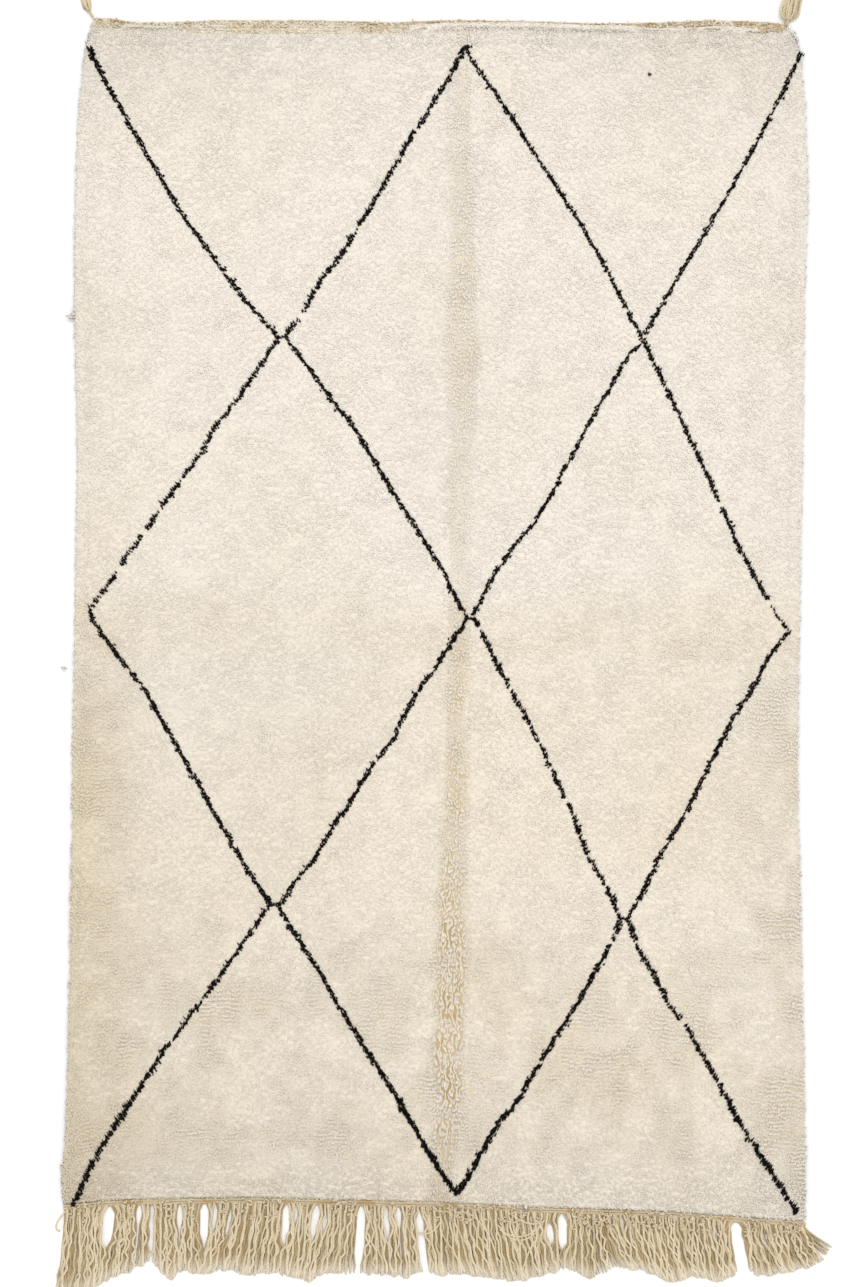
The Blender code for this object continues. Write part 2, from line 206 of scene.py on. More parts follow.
# Loose yarns that cross over the fringe: where each starts, its lowest point's place, and where it ends
Swoop = namedtuple("Swoop", "start middle end height")
SWOOPS = (
    Swoop((0.149, -1.262), (0.190, -1.286), (0.226, -1.282), 0.010),
    Swoop((0.132, -1.300), (0.178, -1.314), (0.222, -1.288), 0.010),
    Swoop((0.128, -1.290), (0.170, -1.322), (0.214, -1.300), 0.009),
    Swoop((-0.327, -1.270), (-0.356, -1.286), (-0.370, -1.330), 0.009),
    Swoop((0.010, -1.278), (-0.014, -1.306), (-0.044, -1.303), 0.009),
    Swoop((-0.781, -1.262), (-0.800, -1.290), (-0.792, -1.304), 0.007),
    Swoop((0.060, -1.262), (0.105, -1.305), (0.128, -1.376), 0.009),
    Swoop((0.180, -1.385), (0.196, -1.340), (0.212, -1.318), 0.009),
)

# Tassels: strands start at a root, pass the knot and end at a tip. spread is half the width of the tips.
Tassel = namedtuple("Tassel", "node root knot tip spread strands")
TASSELS = (
    Tassel("tassel_left", (-0.7235, 1.2490), (-0.7330, 1.2640), (-0.7480, 1.3050), 0.0085, 9),
    Tassel("tassel_right", (0.7340, 1.2320), (0.7370, 1.2420), (0.7500, 1.3110), 0.0185, 24),
)

# How far the pile reaches past its field over the rolled heading
Overhang = namedtuple("Overhang", "across reach")
OVERHANGS = (
    Overhang(-0.730, 0.002),
    Overhang(-0.675, 0.003),
    Overhang(-0.640, 0.009),
    Overhang(-0.560, 0.007),
    Overhang(-0.515, 0.000),
    Overhang(-0.090, 0.000),
    Overhang(-0.040, 0.008),
    Overhang(0.020, 0.012),
    Overhang(0.390, 0.013),
    Overhang(0.440, 0.007),
    Overhang(0.540, 0.005),
    Overhang(0.600, 0.010),
    Overhang(0.655, 0.010),
    Overhang(0.680, 0.000),
    Overhang(0.720, 0.000),
    Overhang(0.735, 0.006),
)

# Where the rolled heading frays: from and to across, how far in from its edge it starts and ends, how many
# curls it has, and the share of them that are pale
Frayed = namedtuple("Frayed", "start end near far curls pale")
FRAYS = (
    Frayed(-0.722, -0.668, 0.001, 0.020, 70, 0.15),
    Frayed(-0.670, -0.540, 0.001, 0.008, 70, 0.40),
    Frayed(-0.545, -0.060, 0.002, 0.028, 620, 0.62),
    Frayed(-0.455, -0.370, 0.018, 0.040, 34, 0.70),
    Frayed(-0.115, -0.070, 0.014, 0.036, 24, 0.90),
    Frayed(-0.060, 0.420, 0.001, 0.005, 70, 0.10),
    Frayed(-0.535, -0.075, 0.018, 0.036, 110, 0.75),
    Frayed(0.420, 0.560, 0.001, 0.011, 90, 0.12),
    Frayed(0.560, 0.680, 0.001, 0.012, 80, 0.15),
    Frayed(0.672, 0.730, 0.002, 0.021, 70, 0.00),
)

# The loose bow on the rolled heading, as four loops
BOW = (
    Swoop((0.578, 1.2230), (0.590, 1.2390), (0.602, 1.2260), 0.012),
    Swoop((0.602, 1.2260), (0.612, 1.2380), (0.626, 1.2180), 0.012),
    Swoop((0.480, 1.2180), (0.484, 1.2270), (0.480, 1.2340), 0.011),
    Swoop((0.505, 1.2150), (0.511, 1.2280), (0.524, 1.2160), 0.011),
)

# Locks that stick out past the edges, and which way each points
Stray = namedtuple("Stray", "across along lean_x lean_y length")
STRAYS = (
    Stray(-0.757, 0.614, -1.00, 0.25, 0.026),
    Stray(-0.752, 0.622, -1.00, 0.10, 0.020),
    Stray(-0.776, -0.122, -1.00, 0.20, 0.016),
    Stray(0.181, -1.240, 0.45, -1.00, 0.024),
    Stray(0.186, -1.238, 0.20, -1.00, 0.020),
)

# The fringe's layers, from the floor up: the yarns' pitch, how many points each has, how unevenly they part,
# their girth and the range of their tones. The tones vary at random, and run darker in the lower layers as
# painted shade under the yarns above.
Layer = namedtuple("Layer", "pitch points spread girth darkest palest")
LAYERS = (
    Layer(0.0037, 10, 0.0008, 1.12, 0.0, 0.15),
    Layer(0.0085, 14, 0.0030, 1.05, 0.0, 0.50),
    Layer(0.0115, 14, 0.0050, 1.22, 0.3, 1.00),
    Layer(0.0140, 14, 0.0080, 1.22, 0.6, 1.00),
)
LAYER_RISE = 0.0019  # from one layer to the next
YARN_LEVEL = 0.0022  # height of a yarn's middle where it lies on the floor
ROOT_CURLS = 560

PILE_BANDS = 4
LOCK_SIDES = 3
BELLY = 0.52  # where a lock of wool is widest, as a share of its length
BELLY_REACH = 1.45  # how far its corners stand out there, for a half width of one
EDGE_TOP = 0.013  # the pile's height where its solid has rounded away
STREAK = 0.0118  # from one streak of the long fold to the next
FLECK_PLACES = ((0.4455, 1.1235), (0.4490, 1.1240))  # the two locks of the single brown knot

# The ground's mesh: shares of its length and width at which its first rows and columns stand, close together
# where the edge is round, and how many more stand between them and their like at the far side
CLOSE_ROWS = (0.0, 0.0015, 0.003, 0.005, 0.008, 0.012)
CLOSE_COLUMNS = (0.0, 0.003, 0.006, 0.012)
OPEN_ROWS = 112
OPEN_COLUMNS = 122

YARN_ATTRIBUTES = ("girth", "tone", "end")


class RugPile(bpy.types.PropertyGroup):
    row_pitch: bpy.props.FloatProperty(
        name="Row Pitch", description="From one row of knots to the next", default=0.0097, unit="LENGTH")
    lock_pitch: bpy.props.FloatProperty(
        name="Lock Pitch", description="From one lock to the next in a row, two to a knot", default=0.0035,
        unit="LENGTH")
    cover: bpy.props.FloatProperty(
        name="Cover", description="How far the locks rise above the packed wool at their feet",
        default=0.0023, unit="LENGTH")
    rooted: bpy.props.FloatProperty(
        name="Rooted", description="How far down in the packed wool a lock starts", default=0.0038,
        unit="LENGTH")
    edge_inset: bpy.props.FloatProperty(
        name="Edge Inset", description="How far in from the sides the outermost knots stand",
        default=0.0065, unit="LENGTH")
    end_inset: bpy.props.FloatProperty(
        name="End Inset", description="How far in from the headings the first and last rows stand",
        default=0.0015, unit="LENGTH")
    girth: bpy.props.FloatProperty(
        name="Girth", description="A lock's width as a share of the room it has", default=1.30)
    lean: bpy.props.FloatProperty(
        name="Lean", description="How much the pile lies over", default=0.42)
    seed: bpy.props.IntProperty(name="Seed", description="Fixes every random draw", default=7)
    cream: bpy.props.FloatVectorProperty(
        name="Cream Wool", description="Colour of the clean pile", subtype="COLOR", size=3,
        default=(0.918, 0.853, 0.762))
    aged: bpy.props.FloatVectorProperty(
        name="Aged Wool", description="Colour of the yellowed pile", subtype="COLOR", size=3,
        default=(0.85, 0.74, 0.562))
    # Painted shade: a golden brown laid low on the locks and on the packed wool between them, where shade
    # falls down among the locks
    deep_shade: bpy.props.FloatVectorProperty(
        name="Deep Wool", description="Colour down between the locks", subtype="COLOR", size=3,
        default=(0.50, 0.36, 0.15))
    dark: bpy.props.FloatVectorProperty(
        name="Dark Wool", description="Colour of the diamond lines", subtype="COLOR", size=3,
        default=(0.006, 0.005, 0.004))
    fleck: bpy.props.FloatVectorProperty(
        name="Fleck", description="Colour of the single brown knot", subtype="COLOR", size=3,
        default=(0.10, 0.05, 0.025))


class RugFringe(bpy.types.PropertyGroup):
    yarn_radius: bpy.props.FloatProperty(
        name="Yarn Radius", description="Half the thickness of a warp yarn", default=0.0022, unit="LENGTH")
    seed: bpy.props.IntProperty(name="Seed", description="Fixes every random draw", default=11)
    yarn: bpy.props.FloatVectorProperty(
        name="Yarn", description="Colour of the warp yarns", subtype="COLOR", size=3,
        default=(0.69, 0.585, 0.405))
    shade: bpy.props.FloatVectorProperty(
        name="Yarn Shade", description="Colour down between the yarns", subtype="COLOR", size=3,
        default=(0.49, 0.36, 0.175))
    cut: bpy.props.FloatVectorProperty(
        name="Cut Ends", description="Colour of the frayed cut ends", subtype="COLOR", size=3,
        default=(0.78, 0.70, 0.56))


class RugHeadings(bpy.types.PropertyGroup):
    cord_radius: bpy.props.FloatProperty(
        name="Cord Radius", description="Half the thickness of one twining strand", default=0.0019,
        unit="LENGTH")
    twist: bpy.props.FloatProperty(
        name="Twist", description="Length of one full turn of the twining", default=0.016, unit="LENGTH")
    seed: bpy.props.IntProperty(name="Seed", description="Fixes every random draw", default=5)
    tan: bpy.props.FloatVectorProperty(
        name="Heading Yarn", description="Colour of the headings", subtype="COLOR", size=3,
        default=(0.96, 0.88, 0.74))
    shade: bpy.props.FloatVectorProperty(
        name="Heading Shade", description="Colour down between the headings' yarns", subtype="COLOR", size=3,
        default=(0.62, 0.46, 0.24))


class RugStage(bpy.types.PropertyGroup):
    lens: bpy.props.FloatProperty(name="Lens", description="Camera lens in millimetres", default=85.0)
    view_length: bpy.props.FloatProperty(
        name="View Length", description="Length of floor that the camera sees", default=2.7027,
        unit="LENGTH")
    view_centre: bpy.props.FloatVectorProperty(
        name="View Centre", description="Point of the rug in the middle of the view", size=2,
        default=(-0.0189, -0.0683), unit="LENGTH")
    floor: bpy.props.FloatVectorProperty(
        name="Floor", description="Colour of the floor", subtype="COLOR", size=3, default=(0.98, 0.98, 0.98))
    sky: bpy.props.FloatProperty(name="Sky", description="Strength of the even light", default=0.93)
    key: bpy.props.FloatProperty(name="Key", description="Strength of the soft main light", default=0.89)


# ---------------------------------------------------------------- reading the solids


def solid_of(node):
    """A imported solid's points and its edges, as arrays."""
    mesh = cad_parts[node].data
    points = np.empty(len(mesh.vertices) * 3)
    mesh.vertices.foreach_get("co", points)
    edges = np.empty(len(mesh.edges) * 2, np.int64)
    mesh.edges.foreach_get("vertices", edges)
    return points.reshape(-1, 3), edges.reshape(-1, 2)


def reach_of(node, axis, count=160):
    """Places along axis 0 or 1, and how far the solid reaches low and high across each of them."""
    points, edges = solid_of(node)
    start, end = points[edges[:, 0]], points[edges[:, 1]]
    run = end[:, axis] - start[:, axis]
    inset = 1e-4
    places = np.linspace(points[:, axis].min() + inset, points[:, axis].max() - inset, count)
    lows, highs = [], []
    for at in places:
        cut = ((start[:, axis] - at) * (end[:, axis] - at) <= 0) & (np.abs(run) > 0)
        share = (at - start[cut, axis]) / run[cut]
        across = start[cut, 1 - axis] + share * (end[cut, 1 - axis] - start[cut, 1 - axis])
        lows.append(across.min())
        highs.append(across.max())
    return places, np.array(lows), np.array(highs)


def frame_box(node):
    """The solid's lowest and highest corner."""
    points, _ = solid_of(node)
    return points.min(axis=0), points.max(axis=0)


def field_tops(x, y):
    """The pile field's height over each place, or that of its edge where there is none."""
    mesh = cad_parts["pile_field"].data
    points = [v.co.copy() for v in mesh.vertices]
    tree = BVHTree.FromPolygons(points, [p.vertices[:] for p in mesh.polygons])
    down = Vector((0.0, 0.0, -1.0))
    hits = (tree.ray_cast(Vector((a, b, 1.0)), down)[0] for a, b in zip(x, y))
    return np.array([EDGE_TOP if hit is None else hit.z for hit in hits])


def table_at(rows, key, value, at):
    """A table's column at places between its rows."""
    ordered = sorted(rows, key=lambda row: getattr(row, key))
    return np.interp(at, [getattr(r, key) for r in ordered], [getattr(r, value) for r in ordered])


# ---------------------------------------------------------------- numbers


def smooth(value, low, high):
    """0 below low, 1 above high and a soft step between. With low over high it runs the other way."""
    share = np.clip((value - low) / (high - low), 0.0, 1.0)
    return share * share * (3.0 - 2.0 * share)


def soft_noise(x, y, size, seed):
    """Smooth uneven numbers from -1 to 1 over the floor, with hills about size across."""
    lattice = np.random.default_rng(seed).uniform(-1.0, 1.0, (257, 257))
    u, v = np.asarray(x) / size + 97.31, np.asarray(y) / size + 61.17
    i, j = np.floor(u).astype(int), np.floor(v).astype(int)
    a, b = smooth(u - i, 0.0, 1.0), smooth(v - j, 0.0, 1.0)
    i, j, i1, j1 = i % 257, j % 257, (i + 1) % 257, (j + 1) % 257
    low = lattice[i, j] * (1 - a) + lattice[i1, j] * a
    high = lattice[i, j1] * (1 - a) + lattice[i1, j1] * a
    return low * (1 - b) + high * b


# ---------------------------------------------------------------- meshes


def link(name, mesh):
    made = bpy.data.objects.new(name, mesh)
    bpy.context.scene.collection.objects.link(made)
    return made


def mesh_from(points, edges=(), faces=()):
    mesh = bpy.data.meshes.new("part")
    mesh.from_pydata([tuple(p) for p in points], [tuple(e) for e in edges], [tuple(f) for f in faces])
    return mesh


def attach(mesh, name, values):
    """Gives each point of the mesh a number or a vector under this name."""
    values = np.asarray(values, np.float32)
    vector = values.ndim == 2
    made = mesh.attributes.new(name, "FLOAT_VECTOR" if vector else "FLOAT", "POINT")
    made.data.foreach_set("vector" if vector else "value", values.ravel())


def plan_map(mesh):
    """A map as seen from straight above, sheared a little so that upright faces have some width on it."""
    points = np.empty(len(mesh.vertices) * 3)
    mesh.vertices.foreach_get("co", points)
    points = points.reshape(-1, 3)
    corners = np.empty(len(mesh.loops), np.int64)
    mesh.loops.foreach_get("vertex_index", corners)
    shear = 0.3
    plan = points[:, :2] + shear * points[:, 2:]
    plan = (plan - plan.min(axis=0)) / np.ptp(plan, axis=0)
    rim = 0.004
    plan = rim + (1 - 2 * rim) * plan
    layer = mesh.uv_layers.new(name="OFBake", do_init=False)
    layer.uv.foreach_set("vector", plan[corners].astype(np.float32).ravel())


def finish_piece(piece, slot, *nodes):
    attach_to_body(piece, "root")
    if nodes:
        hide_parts(*nodes)
    return piece


# ---------------------------------------------------------------- geometry nodes


class Wires:
    """Adds nodes to a tree, from left to right, with their inputs set or linked."""

    def __init__(self, tree):
        self.tree = tree
        self.count = 0

    def add(self, kind, inputs=None, **properties):
        made = self.tree.nodes.new(kind)
        made.location = (200 * (self.count % 9), -260 * (self.count // 9))
        self.count += 1
        for name, value in properties.items():
            setattr(made, name, value)
        for key, value in (inputs or {}).items():
            if isinstance(value, bpy.types.NodeSocket):
                self.tree.links.new(value, made.inputs[key])
            else:
                made.inputs[key].default_value = value
        return made

    def math(self, operation, first, second=0.0, clamp=False):
        made = self.add("ShaderNodeMath", {0: first, 1: second}, operation=operation, use_clamp=clamp)
        return made.outputs[0]

    def times(self, first, second, clamp=False):
        return self.math("MULTIPLY", first, second, clamp)

    def plus(self, first, second, clamp=False):
        return self.math("ADD", first, second, clamp)

    def attribute(self, name, kind="FLOAT"):
        made = self.add("GeometryNodeInputNamedAttribute", {"Name": name}, data_type=kind)
        return made.outputs["Attribute"]


def new_tree(name, sockets):
    """A geometry tree with these (name, socket type, default) inputs besides its geometry."""
    tree = bpy.data.node_groups.new(name, "GeometryNodeTree")
    tree.interface.new_socket("Geometry", in_out="OUTPUT", socket_type="NodeSocketGeometry")
    tree.interface.new_socket("Geometry", in_out="INPUT", socket_type="NodeSocketGeometry")
    for label, kind, default in sockets:
        made = tree.interface.new_socket(label, in_out="INPUT", socket_type=kind)
        if default is not None:
            made.default_value = default
    wires = Wires(tree)
    return tree, wires, wires.add("NodeGroupInput").outputs


def close_tree(wires, geometry, material):
    """Ends a tree: realise, shade smooth, set the material."""
    solid = wires.add("GeometryNodeRealizeInstances", {"Geometry": geometry}).outputs[0]
    soft = wires.add("GeometryNodeSetShadeSmooth", {"Geometry": solid}).outputs[0]
    done = wires.add("GeometryNodeSetMaterial", {"Geometry": soft, "Material": material}).outputs[0]
    wires.add("NodeGroupOutput", {"Geometry": done})


def lock_tree():
    """Stands a lock on every point, leaning, turned and sized by the point's own attributes."""
    tree, wires, given = new_tree("Pile Locks", (
        ("Lock", "NodeSocketObject", None),
        ("Girth", "NodeSocketFloat", 1.0),
        ("Uneven", "NodeSocketFloat", 0.12),
        ("Seed", "NodeSocketInt", 0),
        ("Wool", "NodeSocketMaterial", None),
    ))
    lock = wires.add("GeometryNodeObjectInfo", {"Object": given["Lock"]}, transform_space="ORIGINAL")
    lean = wires.add("FunctionNodeAlignRotationToVector", {"Vector": wires.attribute("lean", "FLOAT_VECTOR")})
    spin = wires.add("FunctionNodeAxisAngleToRotation", {"Angle": wires.attribute("spin")})
    turns = {"Rotation": lean.outputs[0], "Rotate By": spin.outputs[0]}
    turned = wires.add("FunctionNodeRotateRotation", turns, rotation_space="LOCAL")
    low = wires.math("SUBTRACT", 1.0, given["Uneven"])
    high = wires.plus(1.0, given["Uneven"])
    uneven = wires.add("FunctionNodeRandomValue", {2: low, 3: high, "Seed": given["Seed"]})
    across = wires.times(uneven.outputs[1], given["Girth"])
    scale = wires.add("ShaderNodeCombineXYZ", {0: across, 1: across, 2: 1.0}).outputs[0]
    size = wires.add("ShaderNodeVectorMath", {0: wires.attribute("size", "FLOAT_VECTOR"), 1: scale},
                     operation="MULTIPLY").outputs[0]
    placed = wires.add("GeometryNodeInstanceOnPoints", {
        "Points": given["Geometry"], "Instance": lock.outputs["Geometry"],
        "Rotation": turned.outputs[0], "Scale": size})
    close_tree(wires, placed.outputs[0], given["Wool"])
    return tree


def yarn_tree():
    """Turns every chain of edges into a round yarn, as thick as its points' girth says."""
    tree, wires, given = new_tree("Yarns", (
        ("Sides", "NodeSocketInt", 5),
        ("Yarn Radius", "NodeSocketFloat", 0.002),
        ("Wool", "NodeSocketMaterial", None),
    ))
    line = wires.add("GeometryNodeMeshToCurve", {"Mesh": given["Geometry"]}).outputs[0]
    ring = wires.add("GeometryNodeCurvePrimitiveCircle", {"Resolution": given["Sides"], "Radius": 1.0})
    girth = wires.times(wires.attribute("girth"), given["Yarn Radius"])
    tube = wires.add("GeometryNodeCurveToMesh", {
        "Curve": line, "Profile Curve": ring.outputs[0], "Scale": girth, "Fill Caps": True})
    close_tree(wires, tube.outputs[0], given["Wool"])
    return tree


def grow(name, carrier, tree, **values):
    """The carrier mesh run through a tree, as a plain mesh object. Values go by the inputs' labels."""
    source = link(name + "_source", carrier)
    modifier = source.modifiers.new("Grow", "NODES")
    modifier.node_group = tree
    for item in tree.interface.items_tree:
        label = item.name.replace(" ", "_").lower()
        if item.in_out == "INPUT" and label in values:
            modifier[item.identifier] = values[label]
    bpy.context.view_layer.update()
    graph = bpy.context.evaluated_depsgraph_get()
    mesh = bpy.data.meshes.new_from_object(source.evaluated_get(graph), depsgraph=graph)
    mesh.name = name
    bpy.data.objects.remove(source)
    for extra in ("lean", "spin", "size", "girth"):
        if extra in mesh.attributes:
            mesh.attributes.remove(mesh.attributes[extra])
    plan_map(mesh)
    return link(name, mesh)


def tree_named(name, make):
    return bpy.data.node_groups.get(name) or make()


def lay_yarns(name, yarns, radius, wool, sides=5):
    """Tubes along yarns. Each yarn is (points, their girths, its tone, how near the cut end they are)."""
    points, edges, girths, tones, ends = [], [], [], [], []
    for line, girth, tone, end in yarns:
        first = len(points)
        points.extend(line)
        edges.extend((first + i, first + i + 1) for i in range(len(line) - 1))
        girths.extend(girth)
        tones.extend([tone] * len(line))
        ends.extend(end)
    carrier = mesh_from(points, edges)
    for label, values in zip(YARN_ATTRIBUTES, (girths, tones, ends)):
        attach(carrier, label, values)
    return grow(name, carrier, tree_named("Yarns", yarn_tree), sides=sides, yarn_radius=radius, wool=wool)


# ---------------------------------------------------------------- materials


def new_material(name, roughness, sheen):
    made = bpy.data.materials.new(name)
    made.use_nodes = True
    shader = made.node_tree.nodes["Principled BSDF"]
    shader.inputs["Roughness"].default_value = roughness
    shader.inputs["Specular IOR Level"].default_value = 0.15
    shader.inputs["Sheen Weight"].default_value = sheen
    shader.inputs["Sheen Roughness"].default_value = 0.6
    return made, Wires(made.node_tree), shader


def colour_of(value):
    return (*value, 1.0)


def blend(wires, factor, first, second, kind="MIX"):
    made = wires.add("ShaderNodeMix", {0: factor, 6: first, 7: second}, data_type="RGBA", blend_type=kind)
    return made.outputs[2]


def soft_range(wires, value, low, high, start=0.0, end=1.0):
    made = wires.add("ShaderNodeMapRange", {0: value, 1: low, 2: high, 3: start, 4: end},
                     interpolation_type="SMOOTHSTEP")
    return made.outputs[0]


def own_number(wires, name):
    return wires.add("ShaderNodeAttribute", attribute_name=name).outputs["Fac"]


def place_in(wires):
    return wires.add("ShaderNodeTexCoord").outputs["Object"]


def shaded(wires, colour, light):
    """The colour, made lighter or darker by this factor."""
    grey = wires.add("ShaderNodeCombineColor", {0: light, 1: light, 2: light}).outputs[0]
    return blend(wires, 1.0, colour, grey, "MULTIPLY")


def noise(wires, vector, scale, detail=2.0):
    return wires.add("ShaderNodeTexNoise", {"Vector": vector, "Scale": scale, "Detail": detail}).outputs[0]


def fibre_bump(wires, shader, height, strength, distance, fluff=0.0):
    """Fine fibres. Fluff turns the surface's direction towards up, as in wool that light sinks into."""
    own = wires.add("ShaderNodeNewGeometry").outputs["Normal"]
    up = wires.add("ShaderNodeMix", {0: fluff, 4: own, 5: (0.0, 0.0, 1.0)}, data_type="VECTOR").outputs[1]
    soft = wires.add("ShaderNodeVectorMath", {0: up}, operation="NORMALIZE").outputs[0]
    bump = wires.add("ShaderNodeBump", {"Strength": strength, "Distance": distance, "Height": height,
                                        "Normal": soft})
    wires.tree.links.new(bump.outputs[0], shader.inputs["Normal"])


def aged_share(wires, axis, place, open_pile):
    """How yellow the wool is: more to the foot and the left, in soft patches and on the cross fold."""
    lower = soft_range(wires, axis[1], 0.30, -0.55, 0.0, 0.42)
    left = soft_range(wires, axis[0], -0.52, -0.78, 0.0, 0.30)
    low_left = wires.times(left, soft_range(wires, axis[1], 0.5, -0.5, 0.35, 1.6))
    low_right = wires.times(soft_range(wires, axis[0], 0.15, 0.60, 0.0, -0.14),
                            soft_range(wires, axis[1], -0.30, -0.75))
    patchy = soft_range(wires, noise(wires, place, 2.6), 0.35, 0.70, -0.10, 0.16)
    band = wires.math("ABSOLUTE", wires.plus(axis[1], 0.035))
    creased = soft_range(wires, band, 0.085, 0.030, 0.0, 0.16)
    aged = wires.plus(wires.plus(lower, low_left), wires.plus(patchy, creased))
    aged = wires.plus(aged, low_right)
    return wires.plus(aged, wires.times(open_pile, 0.08), clamp=True)


def painted_field_light(wires, axis, tone, open_pile):
    """Painted light and shade on the field's wool, as a factor on its colour: painted shade towards the foot,
    near the sides, at the top end most towards its corners, and low on the left; painted light where the long
    fold opens the pile; and a little tone of each lock's own.
    """
    foot = soft_range(wires, axis[1], -0.85, -1.28, 1.0, 0.92)
    across = wires.math("ABSOLUTE", axis[0])
    side = soft_range(wires, across, 0.60, 0.79, 1.0, 0.965)
    head = wires.times(soft_range(wires, axis[1], 0.95, 1.20),
                       soft_range(wires, across, 0.15, 0.55, 0.02, 0.075))
    corner = wires.times(soft_range(wires, axis[0], -0.40, -0.74, 0.0, 0.04),
                         soft_range(wires, axis[1], -0.55, -1.05))
    flank = wires.times(soft_range(wires, axis[0], -0.02, -0.26, 0.0, 0.036),
                        soft_range(wires, axis[1], 0.22, -0.20))
    corner = wires.plus(corner, flank)
    side = wires.plus(side, soft_range(wires, open_pile, 0.50, 0.90, 0.0, 0.065))
    edges = wires.times(wires.math("SUBTRACT", side, wires.plus(head, corner)), foot)
    return wires.times(edges, soft_range(wires, tone, 0.0, 1.0, 0.98, 1.015))


def cream_wool(pile):
    """Cream wool that yellows with age, with a golden painted shade low on the locks and on the packed wool
    between them, and painted light and shade over the field.
    """
    made, wires, shader = new_material("cream_pile_wool", 0.95, 0.25)
    place = place_in(wires)
    axis = wires.add("ShaderNodeSeparateXYZ", {0: place}).outputs
    open_pile = own_number(wires, "open")
    aged = aged_share(wires, axis, place, open_pile)
    worn = blend(wires, aged, colour_of(pile.cream), colour_of(pile.aged))
    # Painted shade: low on each lock, and on the packed wool (which has no rise), the colour goes towards the
    # golden shade colour, more where the pile parts
    depth = soft_range(wires, own_number(wires, "rise"), 0.52, 0.32)
    hollow_shade = wires.times(depth, wires.math("MAXIMUM", open_pile, 0.10), clamp=True)
    deep_shade = blend(wires, hollow_shade, worn, colour_of(pile.deep_shade))
    # Painted light and shade over the field: darker towards the foot, the sides, the top corners and the
    # lower left, lighter where the long fold opens
    light = painted_field_light(wires, axis, own_number(wires, "tone"), open_pile)
    wires.tree.links.new(shaded(wires, deep_shade, light), shader.inputs["Base Color"])
    fibres = wires.plus(noise(wires, place, 260.0, 3.0), noise(wires, place, 900.0, 2.0))
    fluff = soft_range(wires, wires.math("ABSOLUTE", axis[1]), 1.14, 1.21, 0.76, 0.96)
    fibre_bump(wires, shader, fibres, 0.45, 0.0018, fluff)
    return made


def dark_wool(pile):
    """Near-black wool, a little brown, with one brown fleck where the tone is over one."""
    made, wires, shader = new_material("dark_pile_wool", 1.0, 0.0)
    shader.inputs["Specular IOR Level"].default_value = 0.05
    place = place_in(wires)
    tone = own_number(wires, "tone")
    patches = noise(wires, place, 140.0)
    brownish = (0.020, 0.017, 0.015, 1.0)
    black = blend(wires, soft_range(wires, patches, 0.45, 0.75), colour_of(pile.dark), brownish)
    brown = blend(wires, soft_range(wires, tone, 1.2, 1.6), black, colour_of(pile.fleck))
    wires.tree.links.new(brown, shader.inputs["Base Color"])
    fibre_bump(wires, shader, noise(wires, place, 900.0, 3.0), 0.4, 0.0012)
    return made


def ground_wool(pile):
    """Packed wool at the foot of the pile, and the plain weave underneath."""
    made, wires, shader = new_material("ground_weave_wool", 0.98, 0.15)
    place = place_in(wires)
    weft = wires.add("ShaderNodeTexWave", {
        "Vector": place, "Scale": 105.0, "Distortion": 1.5, "Detail": 2.0, "Detail Scale": 3.0},
        bands_direction="Y")
    warp = wires.add("ShaderNodeTexWave", {"Vector": place, "Scale": 70.0, "Distortion": 1.0},
                     bands_direction="X")
    weave = wires.times(weft.outputs["Fac"], warp.outputs["Fac"])
    # The weave's darker threads borrow the golden colour of the painted shade between the locks as a tint of
    # their own
    colour = blend(wires, noise(wires, place, 55.0), colour_of(pile.deep_shade), colour_of(pile.aged))
    threads = blend(wires, wires.times(weave, 0.45), colour, colour_of(pile.cream))
    wires.tree.links.new(threads, shader.inputs["Base Color"])
    fibre_bump(wires, shader, weave, 0.6, 0.002)
    return made


def yarn_wool(name, base, shade, cut, floor, top, patchy, fluff):
    """Tan two-ply yarn with painted shade, browner the lower it lies among its neighbours, and paler towards
    a cut end.
    """
    made, wires, shader = new_material(name, 0.92, 0.20)
    place = place_in(wires)
    height = wires.add("ShaderNodeSeparateXYZ", {0: place}).outputs[2]
    tone, end = own_number(wires, "tone"), own_number(wires, "end")
    stained = wires.times(soft_range(wires, noise(wires, place, 38.0, 3.0), 0.48, 0.66), patchy)
    # Painted shade: yarns lying lower, and the darker-toned ones of the lower layers, go towards the shade
    # colour
    lit = wires.times(soft_range(wires, height, floor, top),
                      soft_range(wires, tone, 0.0, 0.7, 0.35, 1.0))
    raised = wires.math("SUBTRACT", lit, stained, clamp=True)
    body = blend(wires, raised, colour_of(shade), colour_of(base))
    fuzz = wires.times(soft_range(wires, end, 0.72, 1.0), 0.85)
    ended = blend(wires, fuzz, body, colour_of(cut))
    fleck = noise(wires, place, 320.0, 2.0)
    light = wires.times(soft_range(wires, tone, 0.0, 1.0, 0.88, 1.06),
                        soft_range(wires, fleck, 0.3, 0.7, 0.90, 1.08))
    wires.tree.links.new(shaded(wires, ended, light), shader.inputs["Base Color"])
    plies = wires.add("ShaderNodeTexWave", {"Vector": place, "Scale": 75.0, "Distortion": 2.0, "Detail": 1.0},
                      bands_direction="DIAGONAL")
    fibre_bump(wires, shader, wires.plus(plies.outputs["Fac"], fleck), 0.5, 0.0015, fluff)
    return made


def fringe_wool(fringe):
    return yarn_wool("two_ply_warp", fringe.yarn, fringe.shade, fringe.cut, 0.0030, 0.0074, 0.20, 0.0)


def heading_wool(headings, fringe):
    return yarn_wool("heading_cord", headings.tan, headings.shade, fringe.cut, 0.0030, 0.0070, 0.50, 0.4)


def material_named(name, make, *settings):
    return bpy.data.materials.get(name) or make(*settings)


# ---------------------------------------------------------------- the pile


